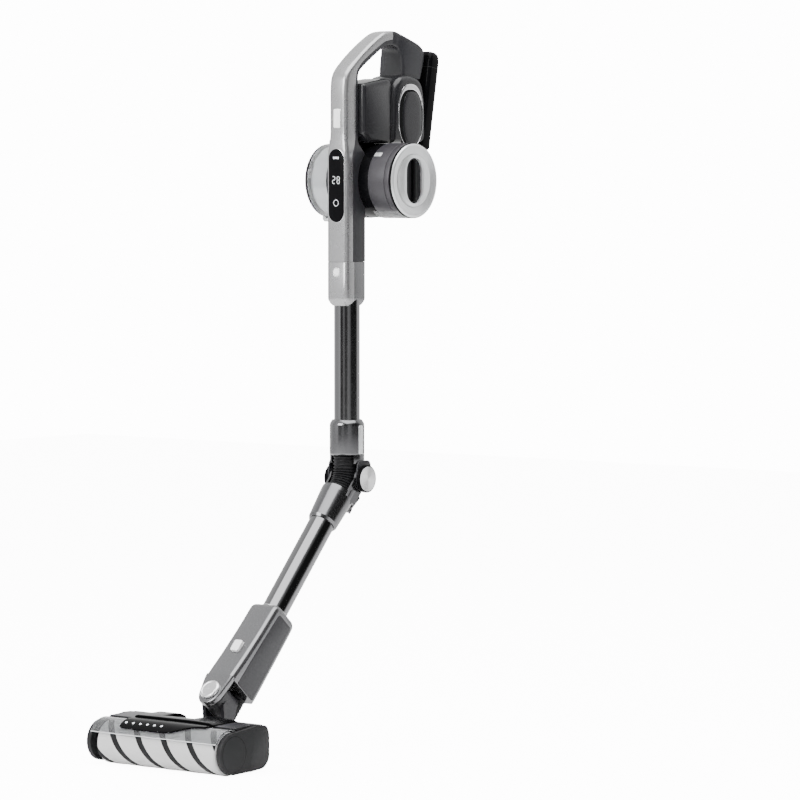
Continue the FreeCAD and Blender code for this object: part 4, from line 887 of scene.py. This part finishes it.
# The connector that flares over the swivel, with dark side panels that are painted shade on its side facets.
connector = {
    "rows": [(-252.2, -19.5, 21, 21.5), (-253.6, -22, 23.6, 23.6), (-257, -24, 26, 24.7), (-264, -25.2,
             27.6, 25),
             (-300, -27.2, 28, 25), (-345, -31.4, 28, 25), (-378, -35.6, 28, 24.9), (-391, -37.2, 27.6,
             24.6)],
    "tongue": [(-388, 24.5), (-394, 24.2), (-400, 23.4), (-406, 22.2), (-412, 20.9), (-418, 19.9),
    (-423, 18.8),
               (-428, 16.6), (-432, 13.8), (-434.6, 10.8), (-436.4, 7.2)],
}
rings = []
for z, front, back, half in curveThrough(connector["rows"], 4):
    ring = soften([(-half, back, 7), (-half, front, 8), (half, front, 8), (half, back, 7)], 1, 6)
    rings.append([Vector((point[0], point[1], z)) for point in ring])
addPiece("connectorBody", joinRings(rings), lowerPlace, "connector_grey", "lower_wand",
         ["connector_shell"])
rings = []
for z, half in connector["tongue"]:
    ring = soften([(-half, -28.6, 1.5), (-half, -37.4, 8), (half, -37.4, 8), (half, -28.6, 1.5)], 1, 6)
    rings.append([Vector((point[0], point[1], z)) for point in ring])
addPiece("connectorTongue", joinRings(rings), lowerPlace, "connector_grey", "lower_wand")
# Painted shade: these dark panels on both side facets stand in for the darker look the lighting gives the metallic
# grey there.
shadeFlank = bmesh.new()
for side in (-1, 1):
    slab(soften([(-13, -262, 6), (21, -262, 6), (21, -390, 3), (-21, -390, 3), (-19, -340, 30)], 4, 5),
         side * 24.2, side * 25.25, "X", shadeFlank)
addPiece("connectorFlanks", shadeFlank, lowerPlace, "dark_shell", "lower_wand", bevel=0.25)
mouth = lathe(soften([(-252.6, 19.0), (-252.6, 21.6), (-250.6, 20.6), (-250.6, 19.0)], 0.7, 4), "Z", 72)
addPiece("connectorLip", mouth, lowerPlace, "bright_trim", "lower_wand")
keyPlace = lowerPlace @ Matrix.Translation((0, -28.6, -335)) @ Matrix.Rotation(radians(5.3), 4, "X")
keyRim = ringTube(soften([(-7.4, -9.4), (7.4, -9.4), (7.4, 9.4), (-7.4, 9.4)], 3.4, 5), 0.4, -0.9, "Y", 6)
addPiece("connectorKeyRim", keyRim, keyPlace, "bright_trim", "lower_wand")
swivelShape = lathe(soften([(0, 0.2), (0, 15), (2.4, 15), (4, 13.4), (4.3, 11.6), (3.7, 10.8), (3.9,
         0.2)], 0.6, 4), "Z", 72)
capPlace = neckPlace @ Matrix.Translation((0, -37.9, 0)) @ Matrix.Rotation(pi / 2, 4, "X")
addPiece("swivelCap", swivelShape, capPlace, "spun_silver", "lower_wand", ["swivel_cap"])

neck = {"low": 13.2, "high": 15.0, "pitch": 5.2, "back": 13.4}
neckPath = [neckPlace @ Vector((0, neck["back"], -14 + 0.6 * i)) * 1000 for i in range(98)]
neckPiece = addPiece("neckBellows", bellows(neckPath, neck["low"], neck["high"], neck["pitch"]),
         worldScale,
                     "rubber_black", None, ["neck_hose"], sharp=70)
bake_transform(neckPiece)
print("connector ready")

# The floor head: plush roller with three spiral strips, end plates, cover and light bar.
rollerSet = {"r": 30.3, "left": -103.8, "right": 112.8, "lead": 141.0, "strips": 3, "stripWidth": 9.0,
         "phase": 74.0,
             "pile": 0.28, "seed": 7}


def rollerAngle(x, strip):
    return radians(rollerSet["phase"] + 360 * strip / rollerSet["strips"] - 360 * x / rollerSet["lead"])


# The roller's pile: a fine grid with a short uneven nap.
def plushShape():
    luck = random.Random(rollerSet["seed"])
    shape = bmesh.new()
    around, columns = 132, 150
    grid = []
    for column in range(columns + 1):
        x = rollerSet["left"] + (rollerSet["right"] - rollerSet["left"]) * column / columns
        edge = min(1.0, (x - rollerSet["left"]) / 3.0, (rollerSet["right"] - x) / 3.0)
        row = []
        for step in range(around):
            angle = 2 * pi * step / around
            radius = rollerSet["r"] - rollerSet["pile"] * luck.random() - 3.0 * (1 - edge) ** 2
            row.append(Vector((x, -radius * cos(angle), radius * sin(angle))))
        grid.append(row)
    return joinRings(grid, shape=shape)


def stripShape():
    shape = bmesh.new()
    tilt = atan2(2 * pi * rollerSet["r"], rollerSet["lead"])
    half = rollerSet["stripWidth"] / 2 / cos(tilt) / rollerSet["r"]
    for strip in range(rollerSet["strips"]):
        rings = []
        for step in range(121):
            x = rollerSet["left"] + 1.2 + (rollerSet["right"] - rollerSet["left"] - 2.4) * step / 120
            middle = rollerAngle(x, strip)
            ring = []
            for offset, radius in ((-1, 28.5), (-1, 30.25), (-0.5, 30.46), (0, 30.49), (0.5, 30.46), (1,
                     30.25),
                                   (1, 28.5)):
                angle = middle + offset * half
                ring.append(Vector((x, -radius * cos(angle), radius * sin(angle))))
            rings.append(ring)
        joinRings(rings, shape=shape)
    return shape


addPiece("rollerPile", plushShape(), rollerPlace, "plush", "roller", ["roller_sleeve"], sharp=80)
addPiece("rollerStrips", stripShape(), rollerPlace, "rubber_black", "roller")

headSet = {"axisY": -107, "axisZ": 30.5, "plateIn": 115.6, "plateOut": 123.3, "lip": 36.4, "visor": 33.2,
           "visorAngle": 151, "lamps": 6, "lampStep": 13}
plateOutline = [(headSet["axisY"] + 29 * cos(radians(a)), 31.5 + 29 * sin(radians(a)))
                for a in range(84, 279, 6)]
plateOutline += [tuple(p) for p in soften([(-74, 3.0, 0.5), (-43, 5.4, 14), (-32.4, 17, 12), (-32.4, 52,
         12),
                                          (-38, 64.6, 10), (-62, 65.2, 0.5)], 10, 5)]
plates, grooves = bmesh.new(), bmesh.new()
for side in (-1, 1):
    slab(plateOutline, side * headSet["plateIn"], side * headSet["plateOut"], "X", plates)
    circle = [(headSet["axisY"] + 24.6 * cos(i * pi / 40),
             31 + 24.6 * sin(i * pi / 40)) for i in range(80)]
    ringTube(circle, 0.3, side * 123.15, "X", 6, grooves)
addPiece("endPlates", plates, headPlace, "black_matte", "floor_head", ["end_caps"], bevel=1.8)
addPiece("endGrooves", grooves, headPlace, "black_gloss", "floor_head")

coverShape = bmesh.new()
for x0, x1, rear in ((-115.3, -28.3, -32.3), (-28.3, 28.3, -62.5), (28.3, 115.3, -32.3)):
    slab(soften([(-96, 63.4, 0.6), (-96, 65.1, 0.8), (rear - 26, 66, 8), (rear - 6, 65, 4), (rear, 59, 3),
                 (rear, 51, 1), (rear - 3, 50.4, 0.6), (-72, 50.4, 2), (-80, 58, 3)], 1, 4), x0, x1,
                 "X", coverShape)
slab(soften([(-74, 50.4), (-74, 51.9), (-32.4, 51.9), (-32.4, 50.4)], 0.4, 3), -28.3, 28.3, "X",
         coverShape)
addPiece("headCover", coverShape, headPlace, "dark_shell", "floor_head", ["head_cover"])


# The raised glossy middle whose front lip wraps down over the visor and fades to the right.
def humpShape():
    rows = []
    for x, lip, rear, top in ((-66, 50, -36, 67.5), (-65, 46, -34, 69), (-61, 44.5, -33, 69.9), (-28.4,
             43, -33, 70),
                              (-28.2, 43, -63.5, 70), (0, 43, -63.5, 70), (20, 44.5, -63.5, 70), (28.2,
                              47, -63.5, 70),
                              (28.4, 47, -33, 70), (38, 53, -33, 69.9), (48, 62, -33, 69.7), (58, 70,
                              -33, 69.3),
                              (70, 76, -33, 68.6), (78, 78, -36, 66.8)):
        rows.append((x, lip, rear, top))
    rings = []
    for x, lip, rear, top in rows:
        lip = min(lip, 79.0)
        arc = [radians(lip + (80 - lip) * i / 8) for i in range(9)]
        outer = [(headSet["axisY"] - headSet["lip"] * cos(a),
                 headSet["axisZ"] + headSet["lip"] * sin(a)) for a in arc]
        inner = [(headSet["axisY"] - 33.95 * cos(a),
                 headSet["axisZ"] + 33.95 * sin(a)) for a in arc[::-1]]
        crest = soften([(-100, top, 6), (rear - 14, top, 8), (rear, top - 6, 3), (rear, top - 9.5, 0.5),
                        (-96, 63.8, 0.5)], 4, 4)
        rings.append([Vector((x, *point)) for point in outer + [tuple(p) for p in crest] + inner])
    return joinRings(rings)


addPiece("headHump", humpShape(), headPlace, "black_gloss", "floor_head", ["led_bezel"], sharp=50)
lamps = bmesh.new()
for index in range(headSet["lamps"]):
    angle = radians(60)
    centre = Vector((-58 + headSet["lampStep"] * index, headSet["axisY"] - 36.3 * cos(angle),
             headSet["axisZ"] + 36.3 * sin(angle)))
    out = Vector((0, -cos(angle), sin(angle)))
    side, rise = Vector((1, 0, 0)), Vector((0, sin(angle), cos(angle)))
    joinRings([[centre + out * d + (side * cos(i * pi / 9) + rise * sin(i * pi / 9)) * r
                for i in range(18)] for d, r in ((-0.4, 2.0), (0.5, 2.0), (0.8, 1.5))], shape=lamps)
addPiece("lampLenses", lamps, headPlace, "led_white", "floor_head", ["led_lenses"])
edge, rings = bmesh.new(), []
visorAngle = radians(headSet["visorAngle"])
for x in (-115.3, 115.3):
    rings.append([Vector((x,
                          headSet["axisY"] + headSet["visor"] * cos(visorAngle) + 0.7 * cos(radians(a)),
                          headSet["axisZ"] + headSet["visor"] * sin(visorAngle) + 0.7 * sin(radians(a))))
                  for a in range(0, 360, 36)])
addPiece("visorEdge", joinRings(rings, shape=edge), headPlace, "ring_silver", "floor_head")
print("head ready")
